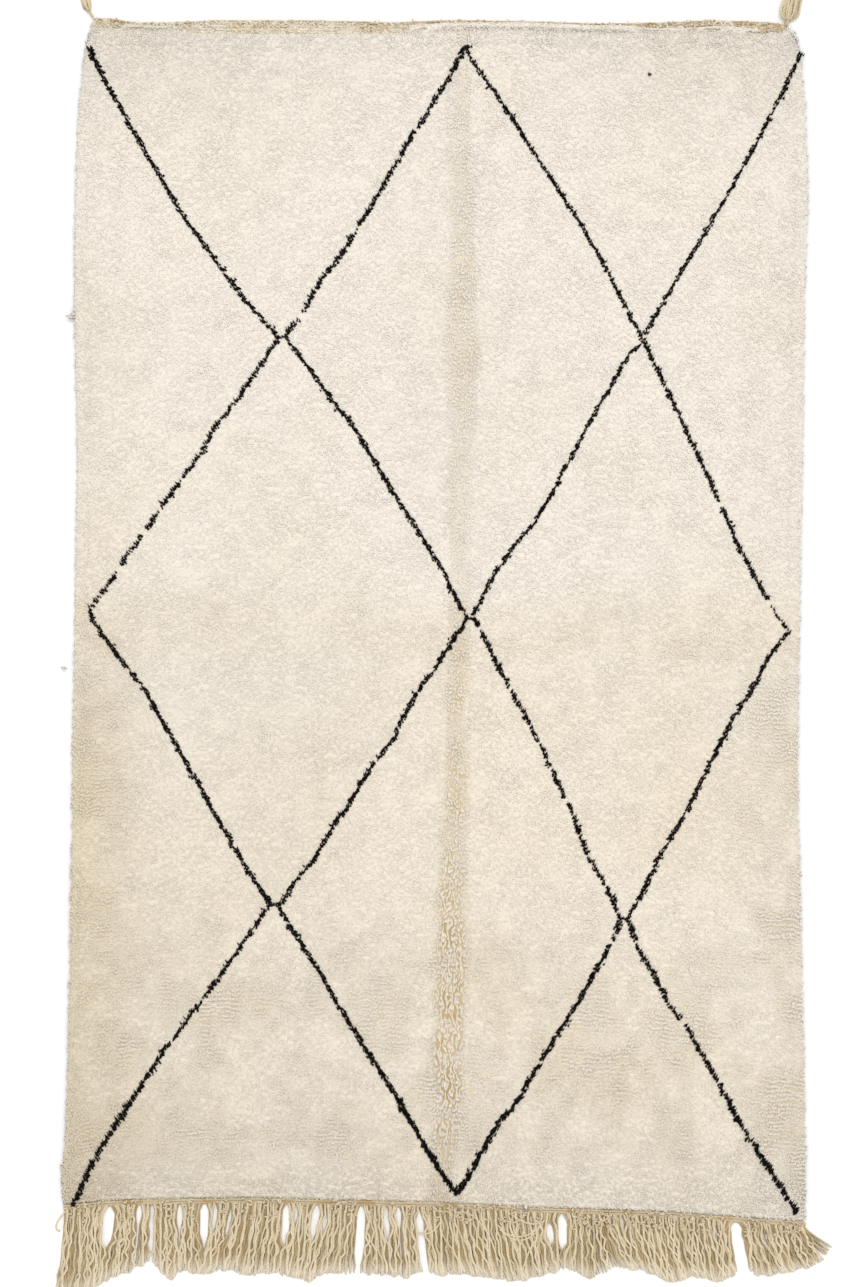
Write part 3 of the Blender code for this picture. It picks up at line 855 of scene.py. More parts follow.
def field_place(pile, u, v):
    """Places at shares of the field's width and length, and the distances to its sides and its ends."""
    along, left, right = reach_of("pile_field", 1)
    across, foot, top = reach_of("pile_field", 0)
    near = foot.mean() + (top.mean() - foot.mean()) * v
    low_x, high_x = np.interp(near, along, left), np.interp(near, along, right)
    x = low_x + pile.edge_inset + (high_x - low_x - 2 * pile.edge_inset) * u
    low_y = np.interp(x, across, foot) + pile.end_inset
    high_y = np.interp(x, across, top) - pile.end_inset + table_at(OVERHANGS, "across", "reach", x)
    y = low_y + (high_y - low_y) * v
    return x, y, np.minimum(x - low_x, high_x - x), np.minimum(y - low_y, high_y - y)


def lock_grid(pile):
    """Each lock's place before any unevenness, and its distances to the field's sides and ends."""
    low, high = frame_box("pile_field")
    rows = round((high[1] - low[1]) / pile.row_pitch)
    columns = round((high[0] - low[0]) / pile.lock_pitch)
    row, column = np.meshgrid(np.arange(rows), np.arange(columns), indexing="ij")
    u, v = (column + 0.5 + 0.25 * (-1.0) ** row) / columns, (row + 0.5) / rows
    return [a.ravel() for a in field_place(pile, u, v)]


def fold_strength(x, y):
    """How plainly the long middle fold shows at each place."""
    off = x - table_at(FOLD, "along", "across", y)
    half = table_at(FOLD, "along", "half_width", y) * (1.0 + 0.25 * soft_noise(x, y, 0.05, 33))
    plain = table_at(FOLD, "along", "plain", y) * (0.85 + 0.35 * soft_noise(x, y, 0.03, 34))
    return np.clip(plain, 0.0, 1.0) * smooth(np.abs(off), 1.35 * half, 0.60 * half)


def fold_wave(x, y):
    """The wandering distance from the fold's line that its streaks follow: they part and meet again."""
    off = x - table_at(FOLD, "along", "across", y)
    sway = 0.0045 * soft_noise(x * 0.4, y, 0.024, 5)
    beat = 2 * math.pi * (y + 0.016 * soft_noise(x, y, 0.05, 6)) / 0.047
    return off + sway + 0.0034 * (np.sin(beat) * np.cos(math.pi * off / STREAK))


def row_strength(x, y):
    """How plainly the rows of knots part: near the foot, along the left side and on the lower right."""
    foot = smooth(y, -0.50, -0.90) * smooth(y, -1.22, -1.10)
    left = smooth(x, -0.60, -0.72) * smooth(y, 0.15, -0.10)
    right = smooth(x, 0.56, 0.70) * smooth(y, -0.02, -0.25)
    cross = smooth(np.abs(y - np.where(x < 0.1, 0.010, -0.080)), 0.045, 0.010) * 0.5
    patches = 0.38 + 0.45 * soft_noise(x, y, 0.09, 31) + 0.45 * soft_noise(x, y, 0.028, 32)
    return np.clip(np.maximum(np.maximum(foot, left), np.maximum(right, cross)) * patches, 0.0, 0.8)


def leg_line(leg, y):
    """Across the rug, the leg's line at each place along it, and its slope there."""
    along, across = np.array(sorted(leg.points)).T
    step = 0.02
    ahead = np.interp(y + step, along, across) - np.interp(y - step, along, across)
    return np.interp(y, along, across), ahead / (2 * step), along[0], along[-1]


def on_lines(x, y):
    """Which places lie inside a dark line's width."""
    inside = np.zeros(len(x), bool)
    for leg in LEGS:
        line, _, low, high = leg_line(leg, y)
        inside |= (y > low) & (y < high) & (np.abs(x - line) < 0.5 * leg.width)
    return inside


def packed_height(pile, tops, x, y):
    """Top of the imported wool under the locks: lower where the rows part and in the long fold."""
    return tops - pile.cover - 0.0012 * row_strength(x, y) - 0.0018 * fold_strength(x, y)


def lay_of(pile, x, y, fold):
    """Which way the pile lies over at each place: outward, and towards the top except near the foot."""
    up = np.where(y > -0.45, 0.55, 0.55 - 1.15 * smooth(y, -0.45, -0.95))
    foot = smooth(y, -0.95, -1.20)
    calm = 1.0 - 0.7 * fold
    lean_x = pile.lean * calm * (0.75 * np.tanh(x / 0.40) + 0.75 * soft_noise(x, y, 0.045, 8))
    lean_y = pile.lean * calm * (up + 0.65 * soft_noise(x, y, 0.045, 9))
    return lean_x + 0.35 * foot * (1.0 - fold) * soft_noise(x, y, 0.09, 10), lean_y


def locks_from(x, y, lean_x, lean_y, feet, tops, wide, long, spin, tone, show):
    """A record of locks, as the arrays that each becomes a point's attribute."""
    lean = np.stack([lean_x, lean_y, np.ones(len(x))], axis=1)
    slant = np.linalg.norm(lean, axis=1)
    length = (tops - feet) * np.minimum(slant, 1.35)
    return {"base": np.stack([x, y, feet], axis=1), "lean": lean / slant[:, None],
            "size": np.stack([wide, long, length], axis=1), "spin": spin, "tone": tone, "open": show}


def cream_locks(pile):
    """Every cream lock of the field."""
    rng = np.random.default_rng(pile.seed)
    x, y, side, end = lock_grid(pile)
    rows_show, fold = row_strength(x, y), fold_strength(x, y)
    loose = 1.0 - np.maximum(0.75 * rows_show, 0.6 * fold)
    x = x + loose * rng.uniform(-0.5, 0.5, len(x)) * pile.lock_pitch
    y = y + (1.0 - 0.75 * rows_show * (1.0 - fold)) * rng.uniform(-0.5, 0.5, len(x)) * pile.row_pitch
    y = y + rows_show * (0.0050 * soft_noise(x, 2.2 * y, 0.040, 3) + 0.0035 * soft_noise(x, y, 0.016, 4))
    wave = fold_wave(x, y)
    step = 0.002
    steep = (fold_wave(x + step, y) - fold_wave(x - step, y)) / (2 * step)
    turn = (fold_wave(x, y + step) - fold_wave(x, y - step)) / (2 * step) / np.maximum(steep, 0.4)
    pull = np.sin(2 * math.pi * wave / STREAK)
    x = x + 0.35 * fold * STREAK / (2 * math.pi) * pull

    lean_x, lean_y = lay_of(pile, x, y, fold)
    lean_x = lean_x + 0.30 * fold * pull
    lean_x = lean_x + rng.normal(0.0, 0.22, len(x)) * (1.0 - 0.4 * rows_show) * (1.0 - 0.6 * fold)
    lean_y = lean_y + rng.normal(0.0, 0.22, len(x)) * (1.0 - 0.4 * rows_show)
    near_side, near_end = smooth(side, 0.030, 0.008), smooth(end, 0.013, 0.002)
    lean_x = lean_x * (1.0 - near_side) + 0.95 * np.sign(x) * near_side
    lean_y = lean_y * (1.0 - near_end) + 0.55 * np.sign(y) * near_end

    solid_tops = field_tops(x, y)
    feet = packed_height(pile, solid_tops, x, y) - pile.rooted
    tops = solid_tops + rng.normal(0.0, 0.0003, len(x)) + 0.0005 * soft_noise(x, y, 0.03, 12)
    tops = tops - 0.0016 * fold * (0.5 + 0.5 * np.cos(2 * math.pi * wave / STREAK))
    tops = tops - 0.0010 * np.maximum(near_side, near_end)
    neat = rows_show * (1.0 - fold)
    wide = 0.5 * pile.girth * pile.lock_pitch * (1.12 + 0.28 * neat - 0.22 * fold)
    long = 0.5 * pile.girth * pile.row_pitch * (0.62 + 0.10 * neat + 0.55 * fold)
    spin = np.where(fold > 0.2, np.arctan(turn), loose * rng.uniform(-1.5, 1.5, len(x)))
    tone = rng.random(len(x)) * 0.75 + 0.25 * (0.5 + 0.5 * soft_noise(x, y, 0.02, 14))
    show = np.clip(np.maximum(0.5 * rows_show, fold), 0.0, 1.0)
    dashed = soft_noise(np.round(wave / STREAK) * 0.2, y, 0.020, 7) > -0.25
    parted = (np.cos(2 * math.pi * wave / STREAK) > 0.93) & (rng.random(len(x)) < 1.3 * fold) & dashed
    kept = ~on_lines(x, y) & ~parted
    columns = (x, y, lean_x, lean_y, feet, tops, wide, long, spin, tone, show)
    return locks_from(*(column[kept] for column in columns))


def dark_locks(pile):
    """Every dark lock: in each row that a leg crosses, a few side by side."""
    rng = np.random.default_rng(pile.seed + 1)
    places = []
    for leg in LEGS:
        _, _, low, high = leg_line(leg, np.zeros(1))
        for number, y in enumerate(np.arange(low, high, 0.5 * pile.row_pitch)):
            if number % 2 == 0:
                shift, width = rng.normal(0.0, 0.0013), leg.width * rng.uniform(0.70, 1.30)
                torn = rng.random() < leg.broken
            count = rng.integers(0, 3) if torn else max(2, round(width / 0.0030))
            line, slope, _, _ = leg_line(leg, np.array([y]))
            for side in range(count):
                off = ((side + 0.5) / count - 0.5) * width * 0.86
                places.append((line[0] + shift + off, y + rng.normal(0.0, 0.0018), slope[0], leg.straight))
            if rng.random() < 0.40 and not torn:
                off = math.copysign(0.55 * width, rng.random() - 0.5)
                places.append((line[0] + shift + off, y + rng.normal(0.0, 0.003), slope[0], 0.0))
    for bar in BARS:
        for x in np.arange(bar.start, bar.end, 0.0030):
            places.append((x, bar.along + rng.normal(0.0, 0.0012), 0.0, 0.5))
    x, y, slope, straight = np.array(places).T
    low_end = smooth(y, -0.85, -1.08)
    straight = straight * (1.0 - 0.8 * low_end)
    run = np.stack([slope, np.ones(len(x))], axis=1) / np.hypot(slope, 1.0)[:, None]
    nap = np.stack([0.62 * np.tanh(x / 0.12), np.full(len(x), 0.80)], axis=1)
    way = straight[:, None] * run + (1.0 - straight[:, None]) * nap
    way = way / np.linalg.norm(way, axis=1)[:, None]
    way = way * rng.uniform(0.45, 1.0, len(x))[:, None] + rng.normal(0.0, 0.12, (len(x), 2))
    solid_tops = field_tops(x, y)
    feet = packed_height(pile, solid_tops, x, y) - pile.rooted
    count = len(x)
    tops = solid_tops + 0.0014 + rng.normal(0.0, 0.0003, count)
    locks = locks_from(x, y, way[:, 0], way[:, 1], feet, tops, rng.uniform(0.0013, 0.0023, count),
                       rng.uniform(0.0042, 0.0068, count) * (1.0 + 0.45 * low_end),
                       -np.arctan2(way[:, 0], way[:, 1]), rng.random(count), np.zeros(count))
    fleck = {key: value[:2].copy() for key, value in locks.items()}
    fleck["base"][:, :2] = FLECK_PLACES
    fleck["tone"][:] = 2.0
    return {key: np.concatenate([locks[key], fleck[key]]) for key in locks}


def with_strays(locks):
    """The locks with the few that stick out of the edges added to them."""
    lean = np.array([(s.lean_x, s.lean_y, 0.12) for s in STRAYS])
    count = len(STRAYS)
    more = {
        "base": np.array([(s.across, s.along, 0.010) for s in STRAYS]),
        "lean": lean / np.linalg.norm(lean, axis=1)[:, None],
        "size": np.array([(0.0038, 0.0030, s.length) for s in STRAYS]),
        "spin": np.zeros(count),
        "tone": np.full(count, 0.7),
        "open": np.full(count, 0.1),
    }
    return {key: np.concatenate([locks[key], more[key]]) for key in locks}


def lock_shape():
    """One lock of wool, one unit long and one in half width, that narrows to its foot and its tip."""
    shape = bmesh.new()
    foot, tip = shape.verts.new((0.0, 0.0, 0.0)), shape.verts.new((0.0, 0.0, 1.0))
    turns = [2 * math.pi * k / LOCK_SIDES for k in range(LOCK_SIDES)]
    belly = [shape.verts.new((BELLY_REACH * math.sin(-t), BELLY_REACH * math.cos(t), BELLY)) for t in turns]
    for low, high in zip(belly, belly[1:] + belly[:1]):
        shape.faces.new((low, high, tip))
        shape.faces.new((high, low, foot))
    mesh = bpy.data.meshes.new("lock")
    shape.to_mesh(mesh)
    shape.free()
    attach(mesh, "rise", [v.co.z for v in mesh.vertices])
    return mesh


def lay_locks(name, locks, chosen, wool, pile):
    """The chosen locks as one plain mesh."""
    carrier = mesh_from(locks["base"][chosen])
    for key in ("lean", "size", "spin", "tone", "open"):
        attach(carrier, key, locks[key][chosen])
    lock = link("lock_pattern", lock_shape())
    made = grow(name, carrier, tree_named("Pile Locks", lock_tree), lock=lock, girth=1.0, seed=pile.seed,
                wool=wool)
    bpy.data.objects.remove(lock)
    return made


class RUG_OT_ground(bpy.types.Operator):
    """Weave the ground that the pile stands on, with its folds"""

    bl_idname = "rug.ground"
    bl_label = "Weave Ground"

    def execute(self, context):
        pile = context.scene.rug_pile
        shares = []
        for close, count in ((CLOSE_ROWS, OPEN_ROWS), (CLOSE_COLUMNS, OPEN_COLUMNS)):
            far = 1.0 - np.array(close[::-1])
            shares.append(np.concatenate([close, np.linspace(0.02, 0.98, count), far]))
        v, u = np.meshgrid(*shares, indexing="ij")
        rows, columns = v.shape
        x, y, _, _ = field_place(pile, u, v)
        shape = bmesh.new()
        tops = field_tops(x.ravel(), y.ravel()).reshape(x.shape)
        z = packed_height(pile, tops, x, y) + 0.0003 * soft_noise(x, y, 0.03, 21)
        grid = [[shape.verts.new((x[j, i], y[j, i], z[j, i])) for i in range(columns)] for j in range(rows)]
        for j in range(rows - 1):
            for i in range(columns - 1):
                shape.faces.new((grid[j][i], grid[j][i + 1], grid[j + 1][i + 1], grid[j + 1][i]))
        rim = grid[0] + [grid[j][-1] for j in range(1, rows)]
        rim += grid[-1][-2::-1] + [grid[j][0] for j in range(rows - 2, 0, -1)]
        below = [shape.verts.new((p.co.x, p.co.y, 0.0)) for p in rim]
        for k in range(len(rim)):
            after = (k + 1) % len(rim)
            shape.faces.new((rim[k], below[k], below[after], rim[after]))
        woolly_faces = len(shape.faces)
        shape.faces.new(below[::-1])
        bmesh.ops.recalc_face_normals(shape, faces=shape.faces)
        mesh = bpy.data.meshes.new("ground_weave")
        shape.to_mesh(mesh)
        shape.free()
        mesh.materials.append(material_named("cream_pile_wool", cream_wool, pile))
        mesh.materials.append(material_named("ground_weave_wool", ground_wool, pile))
        under = [int(i >= woolly_faces) for i in range(len(mesh.polygons))]
        mesh.polygons.foreach_set("material_index", under)
        rest = len(mesh.vertices) - x.size
        show = np.maximum(0.5 * row_strength(x, y), fold_strength(x, y))
        attach(mesh, "open", np.concatenate([show.ravel(), np.zeros(rest)]))
        attach(mesh, "tone", np.full(len(mesh.vertices), 0.5))
        finish_piece(link("ground_weave", mesh), "wool_pile", "pile_field")
        return {"FINISHED"}


class RUG_OT_pile(bpy.types.Operator):
    """Knot the cream pile in bands, and the dark lines through it"""

    bl_idname = "rug.pile"
    bl_label = "Knot Pile"

    def execute(self, context):
        pile = context.scene.rug_pile
        locks = with_strays(cream_locks(pile))
        cream = material_named("cream_pile_wool", cream_wool, pile)
        dark = material_named("dark_pile_wool", dark_wool, pile)
        low, high = frame_box("pile_field")
        band = ((locks["base"][:, 1] - low[1]) / (high[1] - low[1]) * PILE_BANDS).astype(int)
        band = np.clip(band, 0, PILE_BANDS - 1)
        for number in range(PILE_BANDS):
            made = lay_locks(f"pile_band_{number + 1}", locks, band == number, cream, pile)
            finish_piece(made, "wool_pile")
        lines = dark_locks(pile)
        made = lay_locks("pile_dark_lines", lines, np.ones(len(lines["tone"]), bool), dark, pile)
        finish_piece(made, "wool_pile")
        return {"FINISHED"}


# ---------------------------------------------------------------- yarns


def helix_pair(path, radius, pitch):
    """Two strands that wind round each other along a path of points, as two lists of points."""
    path = np.asarray(path)
    run = np.gradient(path, axis=0)
    run = run / np.linalg.norm(run, axis=1)[:, None]
    side = np.stack([-run[:, 1], run[:, 0], np.zeros(len(run))], axis=1)
    side = side / np.maximum(np.linalg.norm(side, axis=1), 1e-9)[:, None]
    up = np.cross(run, side)
    gone = np.concatenate([[0.0], np.cumsum(np.linalg.norm(np.diff(path, axis=0), axis=1))])
    turn = 2 * math.pi * gone / pitch
    strands = []
    for phase in (0.0, math.pi):
        round_it = np.cos(turn + phase)[:, None] * side + np.sin(turn + phase)[:, None] * up
        strands.append(path + radius * round_it)
    return strands


def fringe_line(root, shift, wavy, level, rng, edges, count):
    """One warp yarn's points from the heading to its cut end, or None where the openings leave it no room."""
    heading_x, heading_low, comb_x, comb_low = edges
    share = np.linspace(0.0, 1.0, count)
    tip = min(max(root + shift, comb_x[0] + 0.003), comb_x[-1] - 0.002)
    start = float(np.interp(root, heading_x, heading_low)) + 0.004
    end = float(np.interp(tip, comb_x, comb_low)) + abs(rng.normal(0.0, 0.0018))
    x = root + (tip - root) * share ** 1.4
    y = start + (end - start) * share
    phase, length = rng.uniform(0, 6.28), rng.uniform(0.030, 0.055)
    fade = smooth(share, 0.0, 0.15) * smooth(share, 1.4, 0.6)
    x = x + wavy * np.sin(phase + (start - y) * 2 * math.pi / length) * fade
    low, high = np.full(count, -1.0), np.full(count, 1.0)
    for gap in OPENINGS:
        middle = gap.across + table_at(SWAYS, "across", "shift", gap.across) * share ** 1.4
        away, clear = root - gap.across, 0.5 * gap.width + 0.0016
        bulge = smooth(share, max(gap.start - 0.08, 0.0), gap.start + 0.10)
        bulge = bulge * smooth(share, gap.end + 0.08, gap.end - 0.12)
        far = 2.0 * gap.width + 0.004
        x = x + math.copysign(clear * max(0.0, 1.0 - abs(away) / far), away) * bulge
        if away > 0:
            low = np.maximum(low, middle + clear * bulge - 0.05 * (1.0 - bulge))
        else:
            high = np.minimum(high, middle - clear * bulge + 0.05 * (1.0 - bulge))
        if gap.start < 0.06 and abs(away) < 0.25 * clear:
            return None, share, phase
    if np.any(high - low < 0.002):
        return None, share, phase
    x = np.clip(x, low, high)
    z = level + 0.0009 * np.sin(phase * 1.7 + share * rng.uniform(5, 11))
    z = z + (YARN_LEVEL - level) * smooth(share, 0.70, 1.05)
    return np.stack([x, y, np.maximum(z, 0.0020)], axis=1), share, phase


def fringe_yarns(fringe):
    """Every warp yarn: a close layer on the floor and looser ones over it. Narrow notches are bridged."""
    rng = np.random.default_rng(fringe.seed)
    heading_x, heading_low, _ = reach_of("heading_foot", 0)
    comb_x, comb_low, _ = reach_of("fringe", 0, 400)
    steps = (-0.012, -0.006, 0.006, 0.012)
    beside = np.minimum.reduce([np.interp(comb_x + step, comb_x, comb_low) for step in steps])
    comb_low = np.where(comb_low > beside + 0.020, beside, comb_low)
    edges = (heading_x, heading_low, comb_x, comb_low)
    first, last = heading_x[0] + 0.002, heading_x[-1] - 0.002
    yarns = []
    for number, layer in enumerate(LAYERS):
        level = YARN_LEVEL + LAYER_RISE * number
        count = round((last - first) / layer.pitch)
        for place in range(count):
            root = first + (last - first) * (place + 0.5) / count + rng.normal(0.0, 0.25 * layer.spread)
            root = min(max(root, first), last)
            shift = float(table_at(SWAYS, "across", "shift", root)) + rng.normal(0.0, layer.spread)
            wavy = 0.0004
            if number:
                shift += 0.011 * float(soft_noise(root, 0.0, 0.030, 52 + number))
                wavy = rng.uniform(0.0010, 0.0034)
            line, share, phase = fringe_line(root, shift, wavy, level, rng, edges, layer.points)
            if line is None:
                continue
            if number:
                bundled = 2 * math.pi * line[:, 0] / 0.0130 + 2.5 * soft_noise(root, 0.0, 0.09, 51)
                line[:, 0] += 0.0021 * np.sin(bundled) * smooth(share, 0.10, 0.60)
            girth = layer.girth + 0.10 * np.sin(phase + share * 34.0)
            girth = girth + 0.22 * smooth(share, 0.75, 0.97)
            girth[-1] *= 0.6
            yarns.append((line, girth, rng.uniform(layer.darkest, layer.palest), share))
    return yarns


def curl(centre, size, turns, height, rng, count=6):
    """A short curly yarn end lying near a place."""
    turn = rng.uniform(0, 2 * math.pi) + np.linspace(0.0, turns * 2 * math.pi, count)
    reach = size * np.linspace(1.0, rng.uniform(0.3, 0.8), count)
    drift = np.linspace(0, 1, count)[:, None] * rng.normal(0.0, 0.6 * size, 2)
    flat = np.asarray(centre) + drift + np.stack([reach * np.cos(turn), 0.7 * reach * np.sin(turn)], axis=1)
    z = height + 0.35 * size * np.sin(turn * 1.3 + rng.uniform(0, 6)) + 0.0012
    return np.concatenate([flat, z[:, None]], axis=1)


def swoop_yarn(swoop, count=12):
    """A loose yarn from its start over its middle to its end."""
    t = np.linspace(0, 1, count)[:, None]
    a, b, c = (np.asarray(p) for p in (swoop.start, swoop.middle, swoop.end))
    control = 2 * b - 0.5 * (a + c)
    flat = (1 - t) ** 2 * a + 2 * t * (1 - t) * control + t ** 2 * c
    z = swoop.height * (0.75 + 0.25 * np.sin(math.pi * t))
    return np.concatenate([flat, z], axis=1)


class RUG_OT_fringe(bpy.types.Operator):
    """Lay the warp fringe, yarn by yarn, with the curls at its root"""

    bl_idname = "rug.fringe"
    bl_label = "Lay Fringe"

    def execute(self, context):
        fringe = context.scene.rug_fringe
        rng = np.random.default_rng(fringe.seed + 1)
        yarns = fringe_yarns(fringe)
        heading_x, heading_low, _ = reach_of("heading_foot", 0)
        for _ in range(ROOT_CURLS):
            x = rng.uniform(heading_x[0] + 0.01, heading_x[-1] - 0.01)
            if any(abs(x - gap.across) < 0.9 * gap.width + 0.002 for gap in OPENINGS):
                continue
            y = float(np.interp(x, heading_x, heading_low)) + 0.011 - 0.038 * rng.random() ** 1.3
            line = curl((x, y), rng.uniform(0.0025, 0.0055), rng.uniform(0.4, 0.9), 0.0098, rng)
            yarns.append((line, np.full(len(line), 0.80), rng.uniform(0.4, 1.0), np.full(len(line), 0.3)))
        for swoop in SWOOPS:
            line = swoop_yarn(swoop)
            yarns.append((line, np.full(len(line), 0.85), 0.95, np.full(len(line), 0.4)))
        wool = material_named("two_ply_warp", fringe_wool, fringe)
        made = lay_yarns("warp_fringe", yarns, fringe.yarn_radius, wool)
        finish_piece(made, "warp_yarn", "fringe")
        return {"FINISHED"}


class RUG_OT_headings(bpy.types.Operator):
    """Twine the heading at the foot, and roll and fray the one at the top"""

    bl_idname = "rug.headings"
    bl_label = "Make Headings"

    def foot(self, headings, wool):
        across, low, high = reach_of("heading_foot", 0, 200)
        x = np.linspace(across[0], across[-1], 700)
        edge, other = np.interp(x, across, high), np.interp(x, across, low)
        sway = 0.0010 * soft_noise(x, 0 * x, 0.03, 41)
        yarns = []
        for off, height, tone in ((0.16, 0.0066, 0.12), (0.60, 0.0046, 0.1)):
            y = edge + off * (other - edge) + sway
            path = np.stack([x, y, np.full(len(x), height)], axis=1)
            for strand in helix_pair(path, 0.70 * headings.cord_radius, headings.twist * (0.65 + 0.3 * off)):
                girth = 0.78 + 0.18 * soft_noise(x, 0 * x + off, 0.012, 43)
                yarns.append((strand, girth, tone, np.zeros(len(x))))
        # Flat rods under the heading and under the pile's end, darkest in tone and lying low, so they take
        # the painted shade colour where shade falls
        for off, girth in ((-0.10, 1.7), (0.25, 2.0), (0.65, 2.0)):
            y = edge + off * (other - edge)
            base = np.stack([x, y, np.full(len(x), 0.0034)], axis=1)[::6]
            yarns.append((base, np.full(len(base), girth), 0.05, np.zeros(len(base))))
        return lay_yarns("twined_heading", yarns, headings.cord_radius, wool, sides=4)

    def top(self, headings, wool):
        across, low, high = reach_of("heading_top", 0, 200)
        rng = np.random.default_rng(headings.seed + 1)
        x = np.linspace(across[0], across[-1], 420)
        edge, inner = np.interp(x, across, high), np.interp(x, across, low)
        yarns = []
        rolls = ((0.20, 0.0040, 2.0), (0.50, 0.0052, 2.4), (0.80, 0.0056, 2.5), (1.08, 0.0060, 2.3))
        for off, height, girth in rolls:
            y = edge + off * (inner - edge) + 0.0010 * soft_noise(x, 0 * x + off, 0.035, 44)
            z = np.full(len(x), height) + 0.0006 * soft_noise(x, 0 * x + off, 0.03, 45)
            thick = girth * np.clip((edge - inner) / 0.022, 0.5, 1.2)
            yarns.append((np.stack([x, y, z], axis=1)[::3], thick[::3], 0.5, np.zeros(len(x[::3]))))
        y = edge - 0.0020 + 0.0008 * soft_noise(x, 0 * x, 0.03, 46)
        path = np.stack([x, y, np.full(len(x), 0.0062)], axis=1)
        for strand in helix_pair(path, 0.6 * headings.cord_radius, 0.012):
            yarns.append((strand, np.full(len(x), 0.80), 0.05, np.full(len(x), 0.1)))
        for fray in FRAYS:
            for _ in range(fray.curls):
                place = rng.uniform(max(fray.start, across[0] + 0.003), min(fray.end, across[-1] - 0.003))
                y = float(np.interp(place, across, high)) - rng.uniform(fray.near, fray.far)
                line = curl((place, y), rng.uniform(0.0016, 0.0040), rng.uniform(0.3, 1.0), 0.0092, rng)
                pale = rng.random() < fray.pale
                tone = rng.uniform(0.3, 1.0) if pale else rng.uniform(0.0, 0.3 + fray.pale)
                yarns.append((line, np.full(6, 0.72), tone, np.full(6, 1.0 if pale else 0.2)))
        for loop in BOW:
            yarns.append((swoop_yarn(loop), np.full(12, 1.0), 0.95, np.full(12, 1.0)))
        return lay_yarns("rolled_heading", yarns, headings.cord_radius, wool, sides=4)

    def execute(self, context):
        headings, fringe = context.scene.rug_headings, context.scene.rug_fringe
        wool = material_named("heading_cord", heading_wool, headings, fringe)
        finish_piece(self.foot(headings, wool), "heading", "heading_foot")
        finish_piece(self.top(headings, wool), "heading", "heading_top")
        return {"FINISHED"}


class RUG_OT_tassels(bpy.types.Operator):
    """Tie the two corner tassels"""

    bl_idname = "rug.tassels"
    bl_label = "Tie Tassels"

    def execute(self, context):
        fringe = context.scene.rug_fringe
        wool = material_named("two_ply_warp", fringe_wool, fringe)
        for number, tassel in enumerate(TASSELS):
            rng = np.random.default_rng(fringe.seed + 20 + number)
            root, knot, tip = (np.asarray(p) for p in (tassel.root, tassel.knot, tassel.tip))
            run = (tip - knot) / np.linalg.norm(tip - knot)
            side = np.array([run[1], -run[0]])
            yarns = []
            neck = np.linspace(0.0, 1.0, 9)[:, None]
            path = np.concatenate([root + (knot - root) * neck, np.full((9, 1), 0.0052)], axis=1)
            thick = 0.30 + 60.0 * tassel.spread
            for strand in helix_pair(path, 0.0005 + 0.08 * tassel.spread, 0.010):
                yarns.append((strand, np.full(9, thick), 0.4, np.full(9, 0.1)))
            for turn in range(3):
                ring = np.linspace(0.0, 2 * math.pi, 11)
                at = knot + run * 0.0022 * (turn - 1)
                reach = 0.0032 + 0.0006 * (turn == 1)
                flat = at + reach * np.cos(ring)[:, None] * side
                z = 0.0048 + 0.0034 * np.sin(ring)
                line = np.concatenate([flat, z[:, None]], axis=1)
                yarns.append((line, np.full(11, 0.55), 0.3, np.full(11, 0.1)))
            for strand in range(tassel.strands):
                off = (strand + 0.5) / tassel.strands * 2 - 1
                off = off + rng.normal(0.0, 0.08)
                share = np.linspace(0.0, 1.0, 10)
                reach = np.linalg.norm(tip - knot) * (1.0 - 0.14 * off * off + rng.normal(0.0, 0.03))
                spread = tassel.spread * off * (0.22 + 0.78 * smooth(share, -0.04, 0.17))
                spread = spread * (1.0 - 0.25 * smooth(share, 0.35, 0.8))
                wave = 0.0022 * np.sin(rng.uniform(0, 6) + share * rng.uniform(5, 10)) * share
                drift = rng.normal(0.0, 0.22 * tassel.spread) * share
                flat = knot + (reach * share)[:, None] * run + (spread + wave + drift)[:, None] * side
                z = 0.0022 + rng.uniform(0.0, 0.0062) * smooth(share, 1.5, 0.2) * np.ones(10) + 0.0010
                line = np.concatenate([flat, z[:, None]], axis=1)
                girth = (0.60 + 0.55 * smooth(share, 0.05, 0.4)) * rng.uniform(0.8, 1.2)
                girth[-1] *= 0.6
                yarns.append((line, girth, 0.3 + 0.7 * rng.random(), 0.45 + 0.45 * share))
            made = lay_yarns("corner_" + tassel.node, yarns, fringe.yarn_radius, wool)
            finish_piece(made, "warp_yarn", tassel.node)
        return {"FINISHED"}


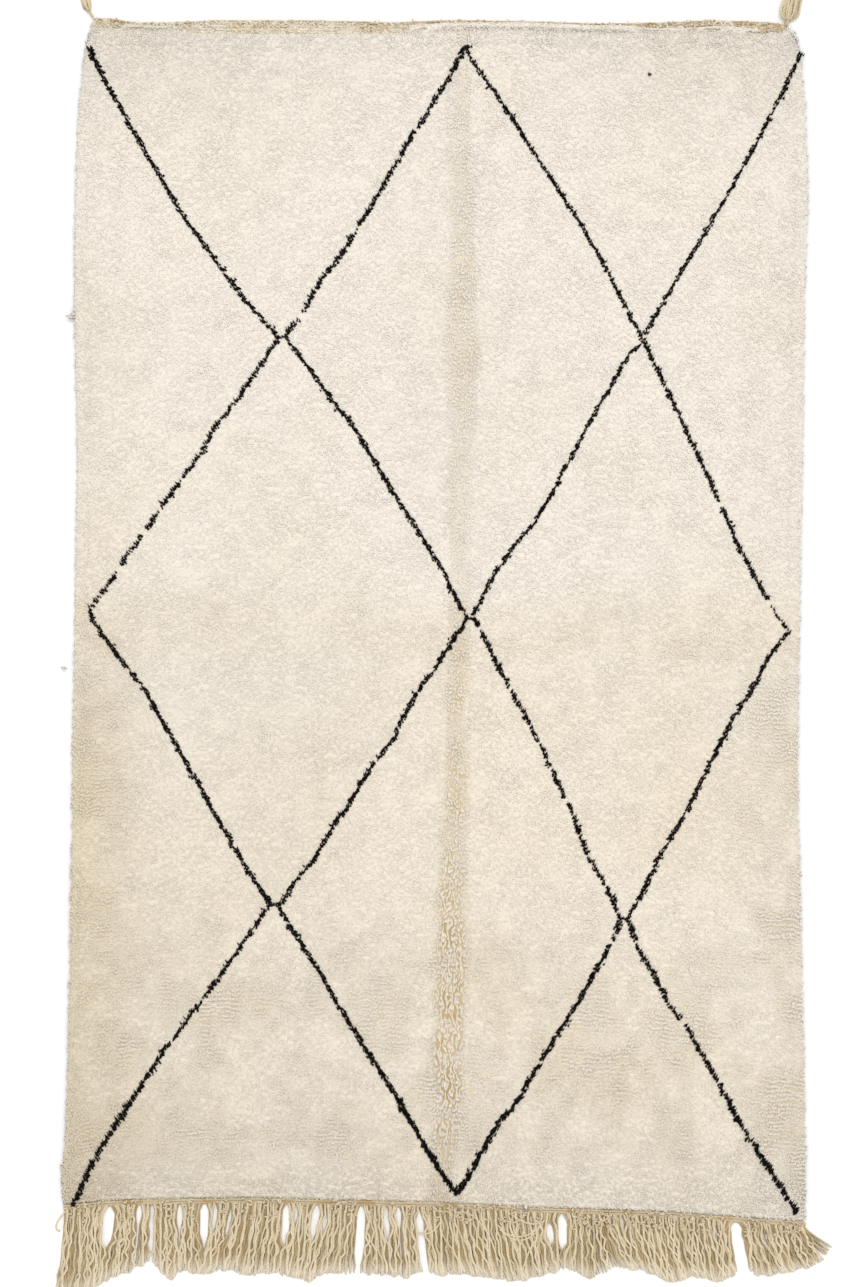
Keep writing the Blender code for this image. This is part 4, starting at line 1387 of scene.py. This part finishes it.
class RUG_OT_stage(bpy.types.Operator):
    """Set the floor, the soft light and the camera above the rug"""

    bl_idname = "rug.stage"
    bl_label = "Set Stage"

    def execute(self, context):
        scene, stage = context.scene, context.scene.rug_stage
        half = 40.0
        corners = [(-half, -half, 0.0), (half, -half, 0.0), (half, half, 0.0), (-half, half, 0.0)]
        floor = link("floor", mesh_from(corners, faces=[(0, 1, 2, 3)]))
        floor.location.z = -0.0004
        paint, wires, shader = new_material("floor_paint", 0.9, 0.0)
        place = place_in(wires)
        mottle = soft_range(wires, noise(wires, place, 0.7), 0.3, 0.7, 0.0, 0.02)
        tint = blend(wires, mottle, colour_of(stage.floor), (0.90, 0.90, 0.90, 1.0))
        wires.tree.links.new(tint, shader.inputs["Base Color"])
        floor.data.materials.append(paint)

        world = bpy.data.worlds.new("studio")
        world.use_nodes = True
        sky = world.node_tree.nodes["Background"]
        sky.inputs["Color"].default_value = (1.0, 1.0, 1.0, 1.0)
        sky.inputs["Strength"].default_value = stage.sky
        scene.world = world
        key = bpy.data.lights.new("key", "SUN")
        key.energy = stage.key
        key.angle = math.radians(28.0)
        sun = link("key", key)
        sun.rotation_euler = (math.radians(-27.0), math.radians(10.0), 0.0)

        lens = bpy.data.cameras.new("camera")
        lens.lens = stage.lens
        lens.sensor_width = 36.0
        camera = link("camera", lens)
        height = 0.5 * stage.view_length * lens.lens / (0.5 * lens.sensor_width)
        camera.location = (*stage.view_centre, height + 0.012)
        scene.camera = camera
        scene.view_settings.view_transform = "Standard"
        return {"FINISHED"}


class RUG_PT_panel(bpy.types.Panel):
    """The rug's sizes, colours and makers"""

    bl_label = "Beni Ourain Rug"
    bl_space_type = "VIEW_3D"
    bl_region_type = "UI"
    bl_category = "Rug"

    def draw(self, context):
        for holder, group in GROUPS.items():
            box = self.layout.box()
            box.label(text=holder.replace("rug_", "").title())
            for name in group.__annotations__:
                box.prop(getattr(context.scene, holder), name)
        for maker in MAKERS:
            self.layout.operator(maker.bl_idname)


GROUPS = {"rug_pile": RugPile, "rug_fringe": RugFringe, "rug_headings": RugHeadings, "rug_stage": RugStage}
MAKERS = (RUG_OT_ground, RUG_OT_pile, RUG_OT_fringe, RUG_OT_headings, RUG_OT_tassels, RUG_OT_stage)


def register():
    for made in (*GROUPS.values(), *MAKERS, RUG_PT_panel):
        bpy.utils.register_class(made)
    for holder, group in GROUPS.items():
        setattr(bpy.types.Scene, holder, bpy.props.PointerProperty(type=group))


def unregister():
    for holder in GROUPS:
        delattr(bpy.types.Scene, holder)
    for made in (RUG_PT_panel, *MAKERS[::-1], *list(GROUPS.values())[::-1]):
        bpy.utils.unregister_class(made)


def main():
    register()
    bpy.ops.rug.ground()
    bpy.ops.rug.pile()
    bpy.ops.rug.fringe()
    bpy.ops.rug.headings()
    bpy.ops.rug.tassels()
    bpy.ops.rug.stage()
    on_it = [f"pile_band_{number + 1}" for number in range(PILE_BANDS)] + ["pile_dark_lines"]
    on_it += ["twined_heading", "rolled_heading", "warp_fringe", "corner_tassel_left", "corner_tassel_right"]


if __name__ == "__main__":
    main()
